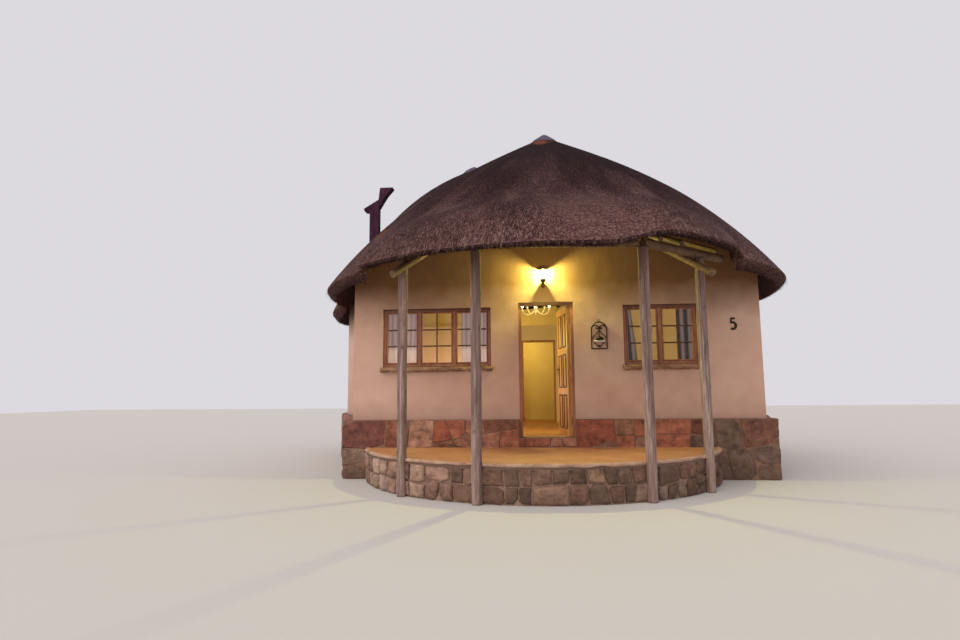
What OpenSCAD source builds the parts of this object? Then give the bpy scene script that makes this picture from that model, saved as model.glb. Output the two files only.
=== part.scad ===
// Thatched rondavel: a round room with a flat front wall and a round porch,
// a second, smaller round lobe behind it, and one thatch that flows over all three.
// Millimetres, +Z up. The origin is on the axis of the main round room, on the lowest ground.
// The front faces -Y.

/* [Levels] */
// Room floor above the lowest ground
floor_h = 610; // [560:10:650]
// Porch floor above the lowest ground
porch_h = 470; // [420:10:490]
// Top of the stone plinth above the lowest ground
plinth_h = 885; // [820:5:950]

/* [Walls] */
// Outer radius of the main round wall
main_wall_r = 3570; // [3520:10:3620]
// Distance from the main axis to the face of the flat front wall
front_face = 2000; // [1950:10:2050]
// Thickness of the plastered walls
wall_t = 270; // [220:10:320]
// Projection of the stone plinth beyond the plaster
plinth_out = 100; // [60:5:130]
// Outer radius of the rear lobe's wall
rear_wall_r = 2750; // [2700:10:2800]
// Rear lobe's axis, distance from the main axis
rear_reach = 2449; // [2380:10:2500]
// Rear lobe's axis, direction from the main axis
rear_az = 129.1; // [126:0.1:132]
// Distance from the main axis to the near face of the inner wall
inner_wall_y = 2550; // [2400:10:2700]
// Thickness of the inner wall
inner_wall_t = 120; // [90:5:160]
// Height of the inner wall above the room floor
inner_wall_h = 2220; // [2100:10:2300]

/* [Thatch] */
// Radius of the main eave
main_eave_r = 4060; // [4000:10:4120]
// Height of the main eave's upper lip
main_eave_h = 3050; // [3010:10:3090]
// Height of the main roof's point
main_apex_h = 6250; // [6170:10:6330]
// Slope of the main roof near its point, rise over run
main_pitch = 0.59; // [0.57:0.01:0.61]
// Power of the curl towards the main eave
main_curl = 4; // [3.5:0.1:4.5]
// Radius of the rear eave
rear_eave_r = 3100; // [3060:10:3160]
// Height of the rear eave's upper lip
rear_eave_h = 2970; // [2930:10:3010]
// Height of the rear roof's point
rear_apex_h = 6390; // [6330:10:6450]
// Slope of the rear roof near its point, rise over run
rear_pitch = 0.55; // [0.52:0.01:0.6]
// Power of the curl towards the rear eave
rear_curl = 3; // [2.7:0.1:3.3]
// Thatch thickness square to the slope
thatch_t = 200; // [180:5:230]
// How far the main thatch's lower lip is set back
main_lip_back = 150; // [110:5:180]
// Rounding where the thatch of one roof flows into the next
thatch_blend = 100; // [60:5:140]

/* [Porch roof] */
// Radius of the porch eave about the porch centre
porch_eave_r = 3200; // [3120:10:3260]
// Slope of the porch roof and its rafters, rise over run
porch_pitch = 0.45; // [0.43:0.01:0.47]
// How far the porch eave droops below the straight slope
porch_droop = 390; // [370:5:410]
// Power of the curl towards the porch eave
porch_curl = 8; // [7.5:0.1:8.5]
// Height of the porch eave's upper lip, left and middle
porch_eave_h = 2970; // [2950:10:3010]
// How much higher the porch eave's lip is at the right
porch_eave_rise = 200; // [120:10:240]
// Thickness of the porch thatch
porch_thatch_t = 145; // [120:5:150]
// How far the porch thatch's lower lip is set back
porch_lip_back = 150; // [110:5:180]
// Left edge of the porch roof, from the porch centre
porch_left_w = 2415; // [2380:5:2450]
// Right edge of the porch roof, from the porch centre
porch_right_w = 2655; // [2620:5:2690]

/* [Porch] */
// Porch centre, sideways from the main axis
porch_x = -235; // [-300:5:-180]
// Porch centre, in front of the main axis
porch_y = -1543; // [-1600:1:-1500]
// Radius of the porch floor
porch_r = 2700; // [2640:10:2740]
// Thickness of the porch floor
porch_floor_t = 70; // [50:5:90]
// Overhang of the porch floor over the stone wall below it
porch_floor_lip = 25; // [10:5:40]
// Directions of the four posts from the porch centre
post_az_1 = -130.4; // [-133:0.1:-128]
// Second post's direction
post_az_2 = -106.1; // [-109:0.1:-103]
// Third post's direction
post_az_3 = -61.6; // [-64:0.1:-59]
// Fourth post's direction
post_az_4 = -37; // [-39:0.1:-35]
// Diameter of the posts
post_d = 130; // [110:2:150]
// Gap between the porch thatch and the rafters over the ring beams, in the middle of the porch
rafter_gap = 22; // [18:1:30]
// Diameter of the ring beams
beam_d = 110; // [96:2:112]
// How far the left ring beam runs past its end post
beam_tail_left = 260; // [200:5:300]
// How far the right ring beam runs past its end post
beam_tail_right = 520; // [480:5:540]
// Diameter of the hip poles that run from the end posts up to the wall
hip_d = 95; // [80:1:96]
// Gap between the ring beams and the hip poles below them
hip_gap = 15; // [10:1:40]
// Slope of the hip poles, rise over run
hip_pitch = 0.6; // [0.55:0.01:0.62]
// How far the hip poles run past the posts
hip_tail = 330; // [250:5:350]

/* [Roof poles] */
// Diameter of the roof poles
pole_d = 100; // [80:2:110]
// Diameter of the porch rafters
rafter_d = 70; // [60:1:80]
// Number of porch rafters between the hip poles
rafter_count = 9; // [7:1:10]
// Radius of the hub disc where the roof poles meet
hub_r = 330; // [300:5:345]

/* [Door] */
// Left edge of the door frame
door_left = -519; // [-560:1:-480]
// Overall width of the door frame
door_w = 850; // [830:5:900]
// Overall height of the door frame above the room floor
door_h = 2080; // [2040:5:2120]
// Face width of the door frame's members
door_frame_w = 45; // [35:1:60]
// Depth of the door frame
door_frame_d = 110; // [90:5:130]
// Set-back of the door frame from the wall's face
door_frame_back = 10; // [5:1:30]
// Thickness of the door leaf
leaf_t = 44; // [38:1:50]
// Gap round the door leaf
leaf_gap = 5; // [5:0.5:7]
// Angle at which the leaf stands open
leaf_open = 81; // [60:1:90]
// Width of the leaf's stiles and rails
leaf_rail = 105; // [90:1:115]
// Depth of the recess round the leaf's panels
panel_recess = 12; // [8:1:14]
// Height of the handle above the room floor
handle_h = 1030; // [950:5:1100]

/* [Windows] */
// Left edge of the left window
win_left_x = -2669; // [-2700:1:-2640]
// Width of the left window
win_left_w = 1716; // [1680:1:1740]
// Left edge of the right window
win_right_x = 1092; // [1060:1:1130]
// Width of the right window
win_right_w = 1113; // [1080:1:1140]
// Height of the windows' lower edge
win_sill_h = 1700; // [1670:5:1730]
// Height of the windows
win_h = 925; // [890:5:950]
// Face width of the window frame
win_frame_w = 48; // [40:1:60]
// Depth of the window frame
win_frame_d = 75; // [60:1:90]
// Set-back of the window frame from the wall's face
win_back = 45; // [30:1:60]
// Thickness of the glass
glass_t = 6; // [4:1:8]
// Thickness of the stone sills
sill_t = 70; // [60:1:80]
// How far the stone sills stand out from the wall
sill_out = 75; // [60:1:90]
// How far the stone sills run past the window
sill_past = 22; // [12:1:40]
// Width that the left window's left curtain covers
curtain_left_w = 600; // [540:10:660]
// Width that the left window's right curtain covers
curtain_middle_w = 500; // [440:10:560]
// Width that each of the right window's curtains covers
curtain_right_w = 240; // [180:10:300]
// Thickness of the gathered curtains
curtain_t = 45; // [30:1:60]
// Diameter of the curtain rods
rod_d = 26; // [20:1:32]

/* [Chimney and caps] */
// Chimney, sideways from the main axis
flue_x = -3612; // [-3650:2:-3570]
// Chimney, behind the main axis
flue_y = 1000; // [950:10:1050]
// Width of the square flue
flue_w = 190; // [170:1:210]
// Wall of the flue and its cowl
flue_wall = 8; // [4:1:12]
// Rise of the flue above the thatch
flue_rise = 665; // [620:5:710]
// Height of the leaning cowl on the flue
cowl_h = 519; // [480:1:560]
// Radius of the mortar caps on the roof points
cap_r = 310; // [280:1:330]
// Thickness of the mortar caps
cap_t = 55; // [45:1:75]

/* [Fittings] */
// Height of the wall lamp above the porch
lamp_h = 3040; // [3000:5:3080]
// Radius of the wall lamp's bowl
lamp_r = 55; // [48:1:62]
// Depth of the wall lamp's finial below the bowl's rim
lamp_drop = 145; // [120:5:170]
// Wall ornament's middle, sideways
ornament_x = 720; // [690:1:750]
// Wall ornament's lower edge
ornament_h = 1940; // [1900:5:1980]
// Width of the wall ornament
ornament_w = 250; // [220:1:280]
// Bar of the wall ornament
ornament_bar = 14; // [10:1:18]
// Inner doorway's left side
inner_door_x = -540; // [-580:1:-500]
// Width of the inner doorway
inner_door_w = 770; // [740:5:820]
// Height of the inner doorway
inner_door_h = 1870; // [1840:5:1950]
// Chandelier, sideways from the main axis
lustre_x = -220; // [-250:5:-190]
// Height of the chandelier's arms
lustre_h = 2830; // [2780:5:2900]
// Radius of the chandelier
lustre_r = 270; // [240:5:300]
// Diameter of the chandelier's tubes
lustre_d = 16; // [12:1:20]

/* [Hidden] */
$fn = 360;

seat = 0.3;
over = 1;
far = 20000;
rear_x = rear_reach * cos(rear_az);
rear_y = rear_reach * sin(rear_az);
door_right = door_left + door_w;
frame_top = floor_h + door_h;
inner_face = front_face - wall_t;
inner_r = main_wall_r - wall_t;
rear_inner_r = rear_wall_r - wall_t;
head_room = 500;
top_h = main_apex_h + head_room;

// Half the angle, seen from the main axis, over which the rear lobe opens the main wall
join_half = acos(
    (pow(main_wall_r, 2) + pow(rear_reach, 2) - pow(rear_inner_r, 2)) / (2 * main_wall_r * rear_reach)
);

// Thatch surface: three roofs and the height where they flow together

function round_roof(r, apex, pitch, eave_r, eave_h, curl) =
    apex - pitch * r - (apex - eave_h - pitch * eave_r) * pow(r / eave_r, curl);
function main_roof(x, y) =
    round_roof(norm([x, y]), main_apex_h, main_pitch, main_eave_r, main_eave_h, main_curl);
function rear_roof(x, y) =
    round_roof(
        norm([x - rear_x, y - rear_y]), rear_apex_h, rear_pitch, rear_eave_r, rear_eave_h, rear_curl
    );
function ease(t) = let (c = min(max(t, 0), 1)) c * c * (3 - 2 * c);
verge_run = 250;
verge_drop = 500;
lip_ramp_from = 700;
lip_ramp_to = 1700;
function porch_lip(u) =
    porch_eave_h + porch_eave_rise * ease((u - lip_ramp_from) / (lip_ramp_to - lip_ramp_from));
function porch_roof(x, y) =
    let (u = x - porch_x, v = y - porch_y, past = max(u - porch_right_w, -u - porch_left_w))
    porch_lip(u) + porch_pitch * (porch_eave_r - norm([u, v]))
        + porch_droop * (1 - pow(norm([u, v]) / porch_eave_r, porch_curl)) - verge_drop * ease(past / verge_run);

function flow(heights, k) =
    let (m = max(heights), s = [for (h = heights) exp((h - m) / k)])
    m + k * ln(s[0] + s[1] + s[2]);
function roofs(x, y) = [main_roof(x, y), rear_roof(x, y), porch_roof(x, y)];
function top_at(x, y) = flow(roofs(x, y), thatch_blend);
// Share of the porch roof in the surface, 0 to 1
function porch_share(x, y) =
    let (h = roofs(x, y), m = max(h), s = [for (one = h) exp((one - m) / thatch_blend)])
    s[2] / (s[0] + s[1] + s[2]);
probe = 10;
function steepness(x, y) =
    norm([
        1,
        (top_at(x + probe, y) - top_at(x - probe, y)) / (2 * probe),
        (top_at(x, y + probe) - top_at(x, y - probe)) / (2 * probe)
    ]);
function under_at(x, y) =
    let (share = porch_share(x, y))
    top_at(x, y) - (thatch_t * (1 - share) + porch_thatch_t * share) * steepness(x, y);

// Plan outline of the eave in a direction from the main axis

function reach_to_circle(az, cx, cy, r) =
    let (along = cx * cos(az) + cy * sin(az))
    along + sqrt(pow(r, 2) - pow(cx, 2) - pow(cy, 2) + pow(along, 2));
function porch_side(az) =
    cos(az) < 0 ? (porch_x - porch_left_w) / cos(az) : (porch_x + porch_right_w) / max(cos(az), 0.001);
function porch_reach(az) = min(reach_to_circle(az, porch_x, porch_y, porch_eave_r), porch_side(az));
function eave_reach(az) =
    max(
        main_eave_r,
        reach_to_circle(az, rear_x, rear_y, rear_eave_r),
        sin(az) < 0 ? porch_reach(az) : 0
    );

// Grid of the thatch: radial lines a fixed step apart, one of them through the rear roof's point

grid_count = 96;
grid_step = 360 / grid_count;
row_count = 18;
rear_row = 6;
rear_line_reach = rear_reach + rear_eave_r;
row_power = ln(rear_eave_r / rear_line_reach) / ln(1 - rear_row / row_count);
core_r = 60;
// Rows lie closer together towards the eave
function row_share(j) = 1 - pow(1 - j / row_count, row_power);
function grid_radius(az, j, back) = max(core_r, row_share(j) * (eave_reach(az) - back));
function lip_back(az) =
    let (r = eave_reach(az), share = porch_share(r * cos(az), r * sin(az)))
    main_lip_back * (1 - share) + porch_lip_back * share;
function top_point(az, j) =
    let (r = grid_radius(az, j, 0), x = r * cos(az), y = r * sin(az)) [x, y, top_at(x, y)];
function low_point(az, j) =
    let (r = grid_radius(az, j, lip_back(az)), x = r * cos(az), y = r * sin(az)) [x, y, under_at(x, y)];

// Sectors of the thatch, as counts of grid steps from the line through the rear roof's point
front_from = -69;
front_to = -47;
right_to = -22;
back_to = 3;

// Straight roof poles: top edge from the hub to the wall
pole_foot_row = 14;
pole_foot_r = row_share(pole_foot_row) * (main_eave_r - main_lip_back);
pole_head_r = 350;
pole_head_clear = 15;
pole_short = 40;
function main_under(r) =
    let (
        h = round_roof(r, main_apex_h, main_pitch, main_eave_r, main_eave_h, main_curl),
        slope = main_pitch + main_curl * (main_apex_h - main_eave_h - main_pitch * main_eave_r)
            / main_eave_r * pow(r / main_eave_r, main_curl - 1)
    )
    h - thatch_t * norm([1, slope]);
function rear_under(r) =
    let (
        h = round_roof(r, rear_apex_h, rear_pitch, rear_eave_r, rear_eave_h, rear_curl),
        slope = rear_pitch + rear_curl * (rear_apex_h - rear_eave_h - rear_pitch * rear_eave_r)
            / rear_eave_r * pow(r / rear_eave_r, rear_curl - 1)
    )
    h - thatch_t * norm([1, slope]);
main_pole_slope =
    (main_under(pole_head_r) - pole_head_clear - main_under(pole_foot_r)) / (pole_foot_r - pole_head_r);
main_pole_drop = pole_d * norm([1, main_pole_slope]);
// Lower edge of the main poles, carried to the axis
main_pole_zero = main_under(pole_foot_r) - seat + main_pole_slope * pole_foot_r - main_pole_drop;
rear_pole_foot_r = rear_wall_r - 60;
rear_pole_clear = 45;
rear_pole_slope =
    (rear_under(pole_head_r) - rear_under(rear_pole_foot_r)) / (rear_pole_foot_r - pole_head_r);
rear_pole_drop = pole_d * norm([1, rear_pole_slope]);
rear_pole_zero =
    rear_under(rear_pole_foot_r) - rear_pole_clear + rear_pole_slope * rear_pole_foot_r - rear_pole_drop;

plaster = "#d9b896";
stone = "#8d6a55";
timber = "#8d8079";
joinery = "#6b3f22";
thatch_brown = "#5a4a40";

// Thatch

module thatch_sector(from, to) {
    lines = [for (i = [from:to]) rear_az + i * grid_step];
    n = len(lines);
    rows = row_count + 1;
    points = concat(
        [for (az = lines) for (j = [0:row_count]) top_point(az, j)],
        [for (az = lines) for (j = [0:row_count]) low_point(az, j)]
    );
    function t(i, j) = i * rows + j;
    function b(i, j) = (n + i) * rows + j;
    faces = concat(
        [for (i = [0:n - 2]) for (j = [0:row_count - 1]) each [
            [t(i, j), t(i + 1, j), t(i + 1, j + 1)], [t(i, j), t(i + 1, j + 1), t(i, j + 1)],
            [b(i, j), b(i, j + 1), b(i + 1, j + 1)], [b(i, j), b(i + 1, j + 1), b(i + 1, j)]
        ]],
        [for (i = [0:n - 2]) each [
            [t(i, row_count), t(i + 1, row_count), b(i + 1, row_count)],
            [t(i, row_count), b(i + 1, row_count), b(i, row_count)],
            [t(i, 0), b(i + 1, 0), t(i + 1, 0)], [t(i, 0), b(i, 0), b(i + 1, 0)]
        ]],
        [for (j = [0:row_count - 1]) each [
            [t(0, j), t(0, j + 1), b(0, j + 1)], [t(0, j), b(0, j + 1), b(0, j)],
            [t(n - 1, j), b(n - 1, j + 1), t(n - 1, j + 1)], [t(n - 1, j), b(n - 1, j), b(n - 1, j + 1)]
        ]]
    );
    polyhedron(points, faces);
}

module thatch_front() { color(thatch_brown) thatch_sector(front_from, front_to); }
module thatch_right() { color(thatch_brown) thatch_sector(front_to, right_to); }
module thatch_back() { color(thatch_brown) thatch_sector(right_to, back_to); }
module thatch_left() {
    color(thatch_brown) difference() {
        thatch_sector(back_to, front_from + grid_count);
        translate([flue_x, flue_y, 0])
            linear_extrude(top_h) square(flue_w + 2 * seat, center = true);
    }
}

// Roof poles

module pole(from, to, d) {
    run = to - from;
    translate(from)
        rotate([0, acos(run[2] / norm(run)), atan2(run[1], run[0])])
            cylinder(h = norm(run), d = d, $fn = 24);
}

// Straight pole in the vertical plane at az, its lower edge on the line zero - slope * r
module radial_pole(az, head_r, foot_r, zero, slope, d) {
    lift = d / 2 * norm([1, slope]);
    difference() {
        pole(
            [head_r * cos(az) / 2, head_r * sin(az) / 2, zero - slope * head_r / 2 + lift],
            [foot_r * cos(az), foot_r * sin(az), zero - slope * foot_r + lift], d
        );
        cylinder(h = top_h, r = hub_r + seat);
    }
}

main_pole_count = 16;
main_pole_turn = 360 / main_pole_count;
rear_pole_count = 8;
rear_pole_turn = 24;
hub_t = 60;
hub_lift = 20;
main_hub_h = main_pole_zero - main_pole_slope * pole_head_r + hub_lift;
rear_hub_h = rear_pole_zero - rear_pole_slope * pole_head_r + hub_lift;
function front_wall_r(az) = sin(az) < 0 ? front_face / -sin(az) : far;
module roof_poles() {
    color(timber) {
        for (k = [0:main_pole_count - 1]) {
            turn = (k + 0.5) * main_pole_turn;
            az = rear_az + turn;
            if (min(turn, 360 - turn) > join_half)
                radial_pole(
                    az, pole_head_r, min(front_wall_r(az), pole_foot_r) - pole_short,
                    main_pole_zero, main_pole_slope, pole_d
                );
        }
        for (k = [0:rear_pole_count - 1])
            translate([rear_x, rear_y, 0])
                radial_pole(
                    rear_az + (k - (rear_pole_count - 1) / 2) * rear_pole_turn, pole_head_r,
                    rear_pole_foot_r - pole_short, rear_pole_zero, rear_pole_slope, pole_d
                );
        translate([0, 0, main_hub_h]) cylinder(h = hub_t, r = hub_r);
        translate([rear_x, rear_y, rear_hub_h]) cylinder(h = hub_t, r = hub_r);
    }
}

// Porch frame

post_axis_r = porch_r + 30;
post_azs = [post_az_1, post_az_2, post_az_3, post_az_4];
function on_porch(az, r, h) = [porch_x + r * cos(az), porch_y + r * sin(az), h];
rafter_lean = norm([1, porch_pitch]);
beam_axis_h = under_at(porch_x, porch_y - post_axis_r) - rafter_gap
    - (rafter_d + beam_d / 2 + seat) * rafter_lean;
beam_under_h = beam_axis_h - beam_d / 2;
hip_h = beam_under_h - hip_gap - hip_d / 2 * norm([1, hip_pitch]);

module post_columns() {
    for (az = post_azs)
        translate(on_porch(az, post_axis_r, 0)) cylinder(h = beam_under_h, d = post_d, $fn = 32);
}
module porch_posts() { color(timber) post_columns(); }

beam_joint = 4;
function beam_end(az, towards, cut) =
    let (p = on_porch(az, post_axis_r, beam_axis_h), q = on_porch(towards, post_axis_r, beam_axis_h))
    p + cut * (q - p) / norm(q - p);
module ring_beams() {
    color(timber) {
        pole(
            beam_end(post_az_1, post_az_2, -beam_tail_left), beam_end(post_az_2, post_az_1, beam_joint), beam_d
        );
        pole(
            beam_end(post_az_2, post_az_3, beam_d / 2 + beam_joint),
            beam_end(post_az_3, post_az_2, beam_d / 2 + beam_joint), beam_d
        );
        pole(
            beam_end(post_az_3, post_az_4, beam_joint), beam_end(post_az_4, post_az_3, -beam_tail_right), beam_d
        );
    }
}

function post_point(k) = on_porch(post_azs[k], post_axis_r, 0);
function main_az(p) = atan2(p[1], p[0]);

// Hip poles lie against the inner side of the end posts and point at the main axis
module hip_pole(k, side) {
    p = post_point(k);
    az = main_az(p);
    aside = side * ((post_d + hip_d) / 2 + seat) * [-sin(az), cos(az), 0];
    out = [cos(az), sin(az), -hip_pitch];
    reach = norm(p) - front_face / 2;
    pole(p + aside + [0, 0, hip_h] - reach * out, p + aside + [0, 0, hip_h] + hip_tail * out, hip_d);
}
module hip_poles() {
    color(timber) difference() {
        union() {
            hip_pole(0, 1);
            hip_pole(len(post_azs) - 1, -1);
        }
        house_block();
    }
}

// Each porch rafter points at the main axis, rests on the beam under it and ends against the wall
rafter_tail = 40;
hip_span = main_az(post_point(len(post_azs) - 1)) - main_az(post_point(0));
function turn_of(a, b) = a[0] * b[1] - a[1] * b[0];
module porch_rafter(az) {
    k = az < main_az(post_point(1)) ? 0 : az < main_az(post_point(2)) ? 1 : 2;
    beam = post_point(k + 1) - post_point(k);
    along = [cos(az), sin(az), -porch_pitch];
    square_to = cross(along, beam);
    rise = ((rafter_d + beam_d) / 2 + seat) * norm(square_to) / abs(square_to[2]);
    seat_r = turn_of(post_point(k), beam) / turn_of(along, beam);
    p = [seat_r * cos(az), seat_r * sin(az), beam_axis_h + rise];
    pole(p - (seat_r - front_wall_r(az) + rafter_d) * along, p + rafter_tail * along, rafter_d);
}
module porch_rafters() {
    color(timber) difference() {
        for (k = [each [1:rafter_count], rafter_count + 2])
            porch_rafter(main_az(post_point(0)) + hip_span * k / (rafter_count + 1));
        house_block();
    }
}
module house_block() {
    translate([-far / 2, -front_face, 0]) cube([far, far / 2, top_h]);
}

// Walls

module ring_plan(r, face) {
    intersection() {
        circle(r);
        translate([-far, -face]) square([2 * far, far + face]);
    }
}
// The front wall runs straight to where its inner face would meet the round wall's outer face
front_past = 10;
function front_half(outside) = sqrt(pow(main_wall_r + outside, 2) - pow(inner_face, 2)) + front_past;
module outer_plan(outside) {
    ring_plan(main_wall_r + outside, front_face + outside);
    translate([-front_half(outside), -front_face - outside])
        square([2 * front_half(outside), front_face + outside - inner_face]);
}
module main_band(outside) {
    difference() {
        outer_plan(outside);
        ring_plan(inner_r, inner_face);
        translate([rear_x, rear_y]) circle(rear_inner_r);
    }
}
module rear_band(outside) {
    difference() {
        translate([rear_x, rear_y]) circle(rear_wall_r + outside);
        translate([rear_x, rear_y]) circle(rear_inner_r);
        circle(main_wall_r + outside);
    }
}
module room_plan() {
    ring_plan(inner_r, inner_face);
    difference() {
        translate([rear_x, rear_y]) circle(rear_inner_r);
        translate([-far, -far - inner_face]) square([2 * far, far]);
    }
}
// Slice of the plan between two directions, less than half a turn apart
module between(from, to) {
    mid = (from + to) / 2;
    polygon([
        [0, 0], far * [cos(from), sin(from)], 2 * far * [cos(mid), sin(mid)], far * [cos(to), sin(to)]
    ]);
}
module behind_front() { translate([-far, -inner_face]) square([2 * far, far]); }
module front_only() { translate([-far, -inner_face - far]) square([2 * far, far]); }
module across(from, to) { translate([from, -far]) square([to - from, 2 * far]); }

// Everything above the lower edges of a round set of poles; past their feet it falls more steeply
past_feet_slope = 0.95;
module over_poles(zero, slope, foot_r) {
    foot_h = zero - slope * foot_r;
    rotate_extrude()
        polygon([
            [0, zero], [foot_r, foot_h], [2 * foot_r, foot_h - past_feet_slope * foot_r],
            [2 * foot_r, top_h], [0, top_h]
        ]);
}
module wall_solid() {
    difference() {
        translate([0, 0, plinth_h]) linear_extrude(top_h - plinth_h) children();
        over_poles(main_pole_zero, main_pole_slope, pole_foot_r);
    }
}

win_top = win_sill_h + win_h;
module window_hole(x, w) {
    translate([x, -front_face - over, win_sill_h - sill_t]) cube([w, wall_t + 2 * over, win_h + sill_t]);
}
module front_wall_left() {
    color(plaster) difference() {
        wall_solid() intersection() {
            main_band(0);
            front_only();
            across(-far, door_left);
        }
        window_hole(win_left_x, win_left_w);
    }
}
module front_wall_right() {
    color(plaster) difference() {
        wall_solid() intersection() {
            main_band(0);
            front_only();
            across(door_right, far);
        }
        window_hole(win_right_x, win_right_w);
    }
}
module front_wall_head() {
    color(plaster) intersection() {
        wall_solid() intersection() {
            main_band(0);
            front_only();
            across(door_left, door_right);
        }
        translate([-far, -far, frame_top]) cube([2 * far, 2 * far, top_h]);
    }
}
module round_wall(from, to) {
    color(plaster) wall_solid() intersection() {
        main_band(0);
        behind_front();
        between(from, to);
    }
}
split_az = 28;
past_front = 40;
module wall_right() { round_wall(-past_front, split_az); }
module wall_back() { round_wall(split_az, rear_az); }
module wall_left() { round_wall(rear_az, 180 + past_front); }
module rear_wall(from, to) {
    color(plaster) difference() {
        translate([0, 0, plinth_h]) linear_extrude(top_h - plinth_h) intersection() {
            rear_band(0);
            translate([rear_x, rear_y]) between(from, to);
        }
        translate([rear_x, rear_y, 0]) over_poles(rear_pole_zero, rear_pole_slope, rear_wall_r);
    }
}
rear_half = 120;
module rear_wall_right() { rear_wall(rear_az - rear_half, rear_az); }
module rear_wall_left() { rear_wall(rear_az, rear_az + rear_half); }

module plinth_solid() { color(stone) linear_extrude(plinth_h) children(); }
module plinth_front_left() {
    plinth_solid() intersection() {
        main_band(plinth_out);
        front_only();
        across(-far, door_left);
    }
}
module plinth_front_right() {
    plinth_solid() intersection() {
        main_band(plinth_out);
        front_only();
        across(door_right, far);
    }
}
module plinth_right() {
    plinth_solid() intersection() {
        main_band(plinth_out);
        behind_front();
        between(-past_front, rear_az);
    }
}
module plinth_left() {
    plinth_solid() intersection() {
        main_band(plinth_out);
        behind_front();
        between(rear_az, 180 + past_front);
    }
}
module plinth_rear() { plinth_solid() rear_band(plinth_out); }

// Floors

module floor_slab() { color("#b98a63") linear_extrude(floor_h) room_plan(); }
module door_step() {
    color(stone) translate([door_left, -front_face - plinth_out, 0])
        cube([door_w, wall_t + plinth_out, floor_h]);
}
module porch_plan(r) {
    intersection() {
        translate([porch_x, porch_y]) circle(r);
        translate([-far, -far - front_face - plinth_out]) square([2 * far, far]);
    }
}
module porch_wall() {
    color("#8f8676") difference() {
        linear_extrude(porch_h - porch_floor_t) porch_plan(porch_r - porch_floor_lip);
        post_columns();
    }
}
module porch_floor() {
    color("#c8874f") difference() {
        translate([0, 0, porch_h - porch_floor_t]) linear_extrude(porch_floor_t) porch_plan(porch_r);
        post_columns();
    }
}

// Door

frame_face = -front_face + door_frame_back;
module door_frame() {
    color(joinery) difference() {
        translate([door_left, frame_face, floor_h]) cube([door_w, door_frame_d, door_h]);
        translate([door_left + door_frame_w, frame_face - over, floor_h - over])
            cube([door_w - 2 * door_frame_w, door_frame_d + 2 * over, door_h - door_frame_w + over]);
    }
}
leaf_w = door_w - 2 * door_frame_w - 2 * leaf_gap;
leaf_h = door_h - door_frame_w - 2 * leaf_gap;
hinge = [door_right - door_frame_w, frame_face + door_frame_d + leaf_gap];
panel_rows = 3;
module at_leaf_hinge() { translate([hinge[0], hinge[1], floor_h]) rotate([0, 0, -leaf_open]) children(); }
module at_leaf() { at_leaf_hinge() translate([-leaf_gap - leaf_w, -leaf_gap - leaf_t, leaf_gap]) children(); }
panel_border = 22;
module door_leaf() {
    panel_w = (leaf_w - 3 * leaf_rail) / 2;
    panel_h = (leaf_h - (panel_rows + 1) * leaf_rail) / panel_rows;
    color("#b0743a") at_leaf() difference() {
        cube([leaf_w, leaf_t, leaf_h]);
        for (i = [0:1], j = [0:panel_rows - 1], face = [-over, leaf_t - panel_recess])
            translate([leaf_rail + i * (panel_w + leaf_rail), face, leaf_rail + j * (panel_h + leaf_rail)])
                difference() {
                    cube([panel_w, panel_recess + over, panel_h]);
                    translate([panel_border, -over, panel_border])
                        cube([
                            panel_w - 2 * panel_border, panel_recess + 3 * over, panel_h - 2 * panel_border
                        ]);
                }
    }
}

// Hinges: the frame's half has the outer knuckles, the leaf's half the middle one
iron = "#3b332c";
hinge_hs = [200, 1000, 1750];
hinge_plate_w = 34;
hinge_plate_t = 2.5;
knuckle_h = 34;
knuckle_d = 2 * (leaf_gap - seat);
module hinge_half(side, knuckles) {
    plate_x = side > 0 ? leaf_gap : -leaf_gap - hinge_plate_w;
    translate([plate_x, -leaf_gap, 0]) cube([hinge_plate_w, hinge_plate_t, 3 * knuckle_h]);
    for (k = knuckles) translate([0, 0, k * knuckle_h]) {
        cylinder(h = knuckle_h - seat, d = knuckle_d, $fn = 32);
        translate([min(0, side * (leaf_gap + over)), -leaf_gap, 0])
            cube([leaf_gap + over, hinge_plate_t, knuckle_h - seat]);
    }
}
module door_hinges() {
    color(iron) for (h = hinge_hs) translate([hinge[0], hinge[1], floor_h + h]) hinge_half(1, [0, 2]);
}

// Handle: a plate on each face, its lever on a short neck, pointing to the hinge side
handle_in = 52;
plate_w = 40;
plate_h = 160;
plate_t = 3;
neck_h = 20;
neck_d = 12;
lever_d = 16;
lever_out = 42;
lever_l = 105;
module handles() {
    for (side = [0, 1]) translate([0, side * leaf_t, 0]) rotate([90, 0, 0]) mirror([0, 0, side]) {
        translate([-plate_w / 2, -plate_h / 2, 0]) cube([plate_w, plate_h, plate_t]);
        translate([0, neck_h, 0]) cylinder(h = lever_out - lever_d / 2, d = neck_d, $fn = 24);
        translate([0, neck_h, lever_out - lever_d / 2]) rotate([0, 90, 0])
            cylinder(h = lever_l, d = lever_d, $fn = 24);
    }
}
module door_fittings() {
    color(iron) {
        at_leaf() translate([handle_in, 0, handle_h - leaf_gap]) handles();
        for (h = hinge_hs) at_leaf_hinge() translate([0, 0, h]) hinge_half(-1, [1]);
    }
}

// Windows

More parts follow.
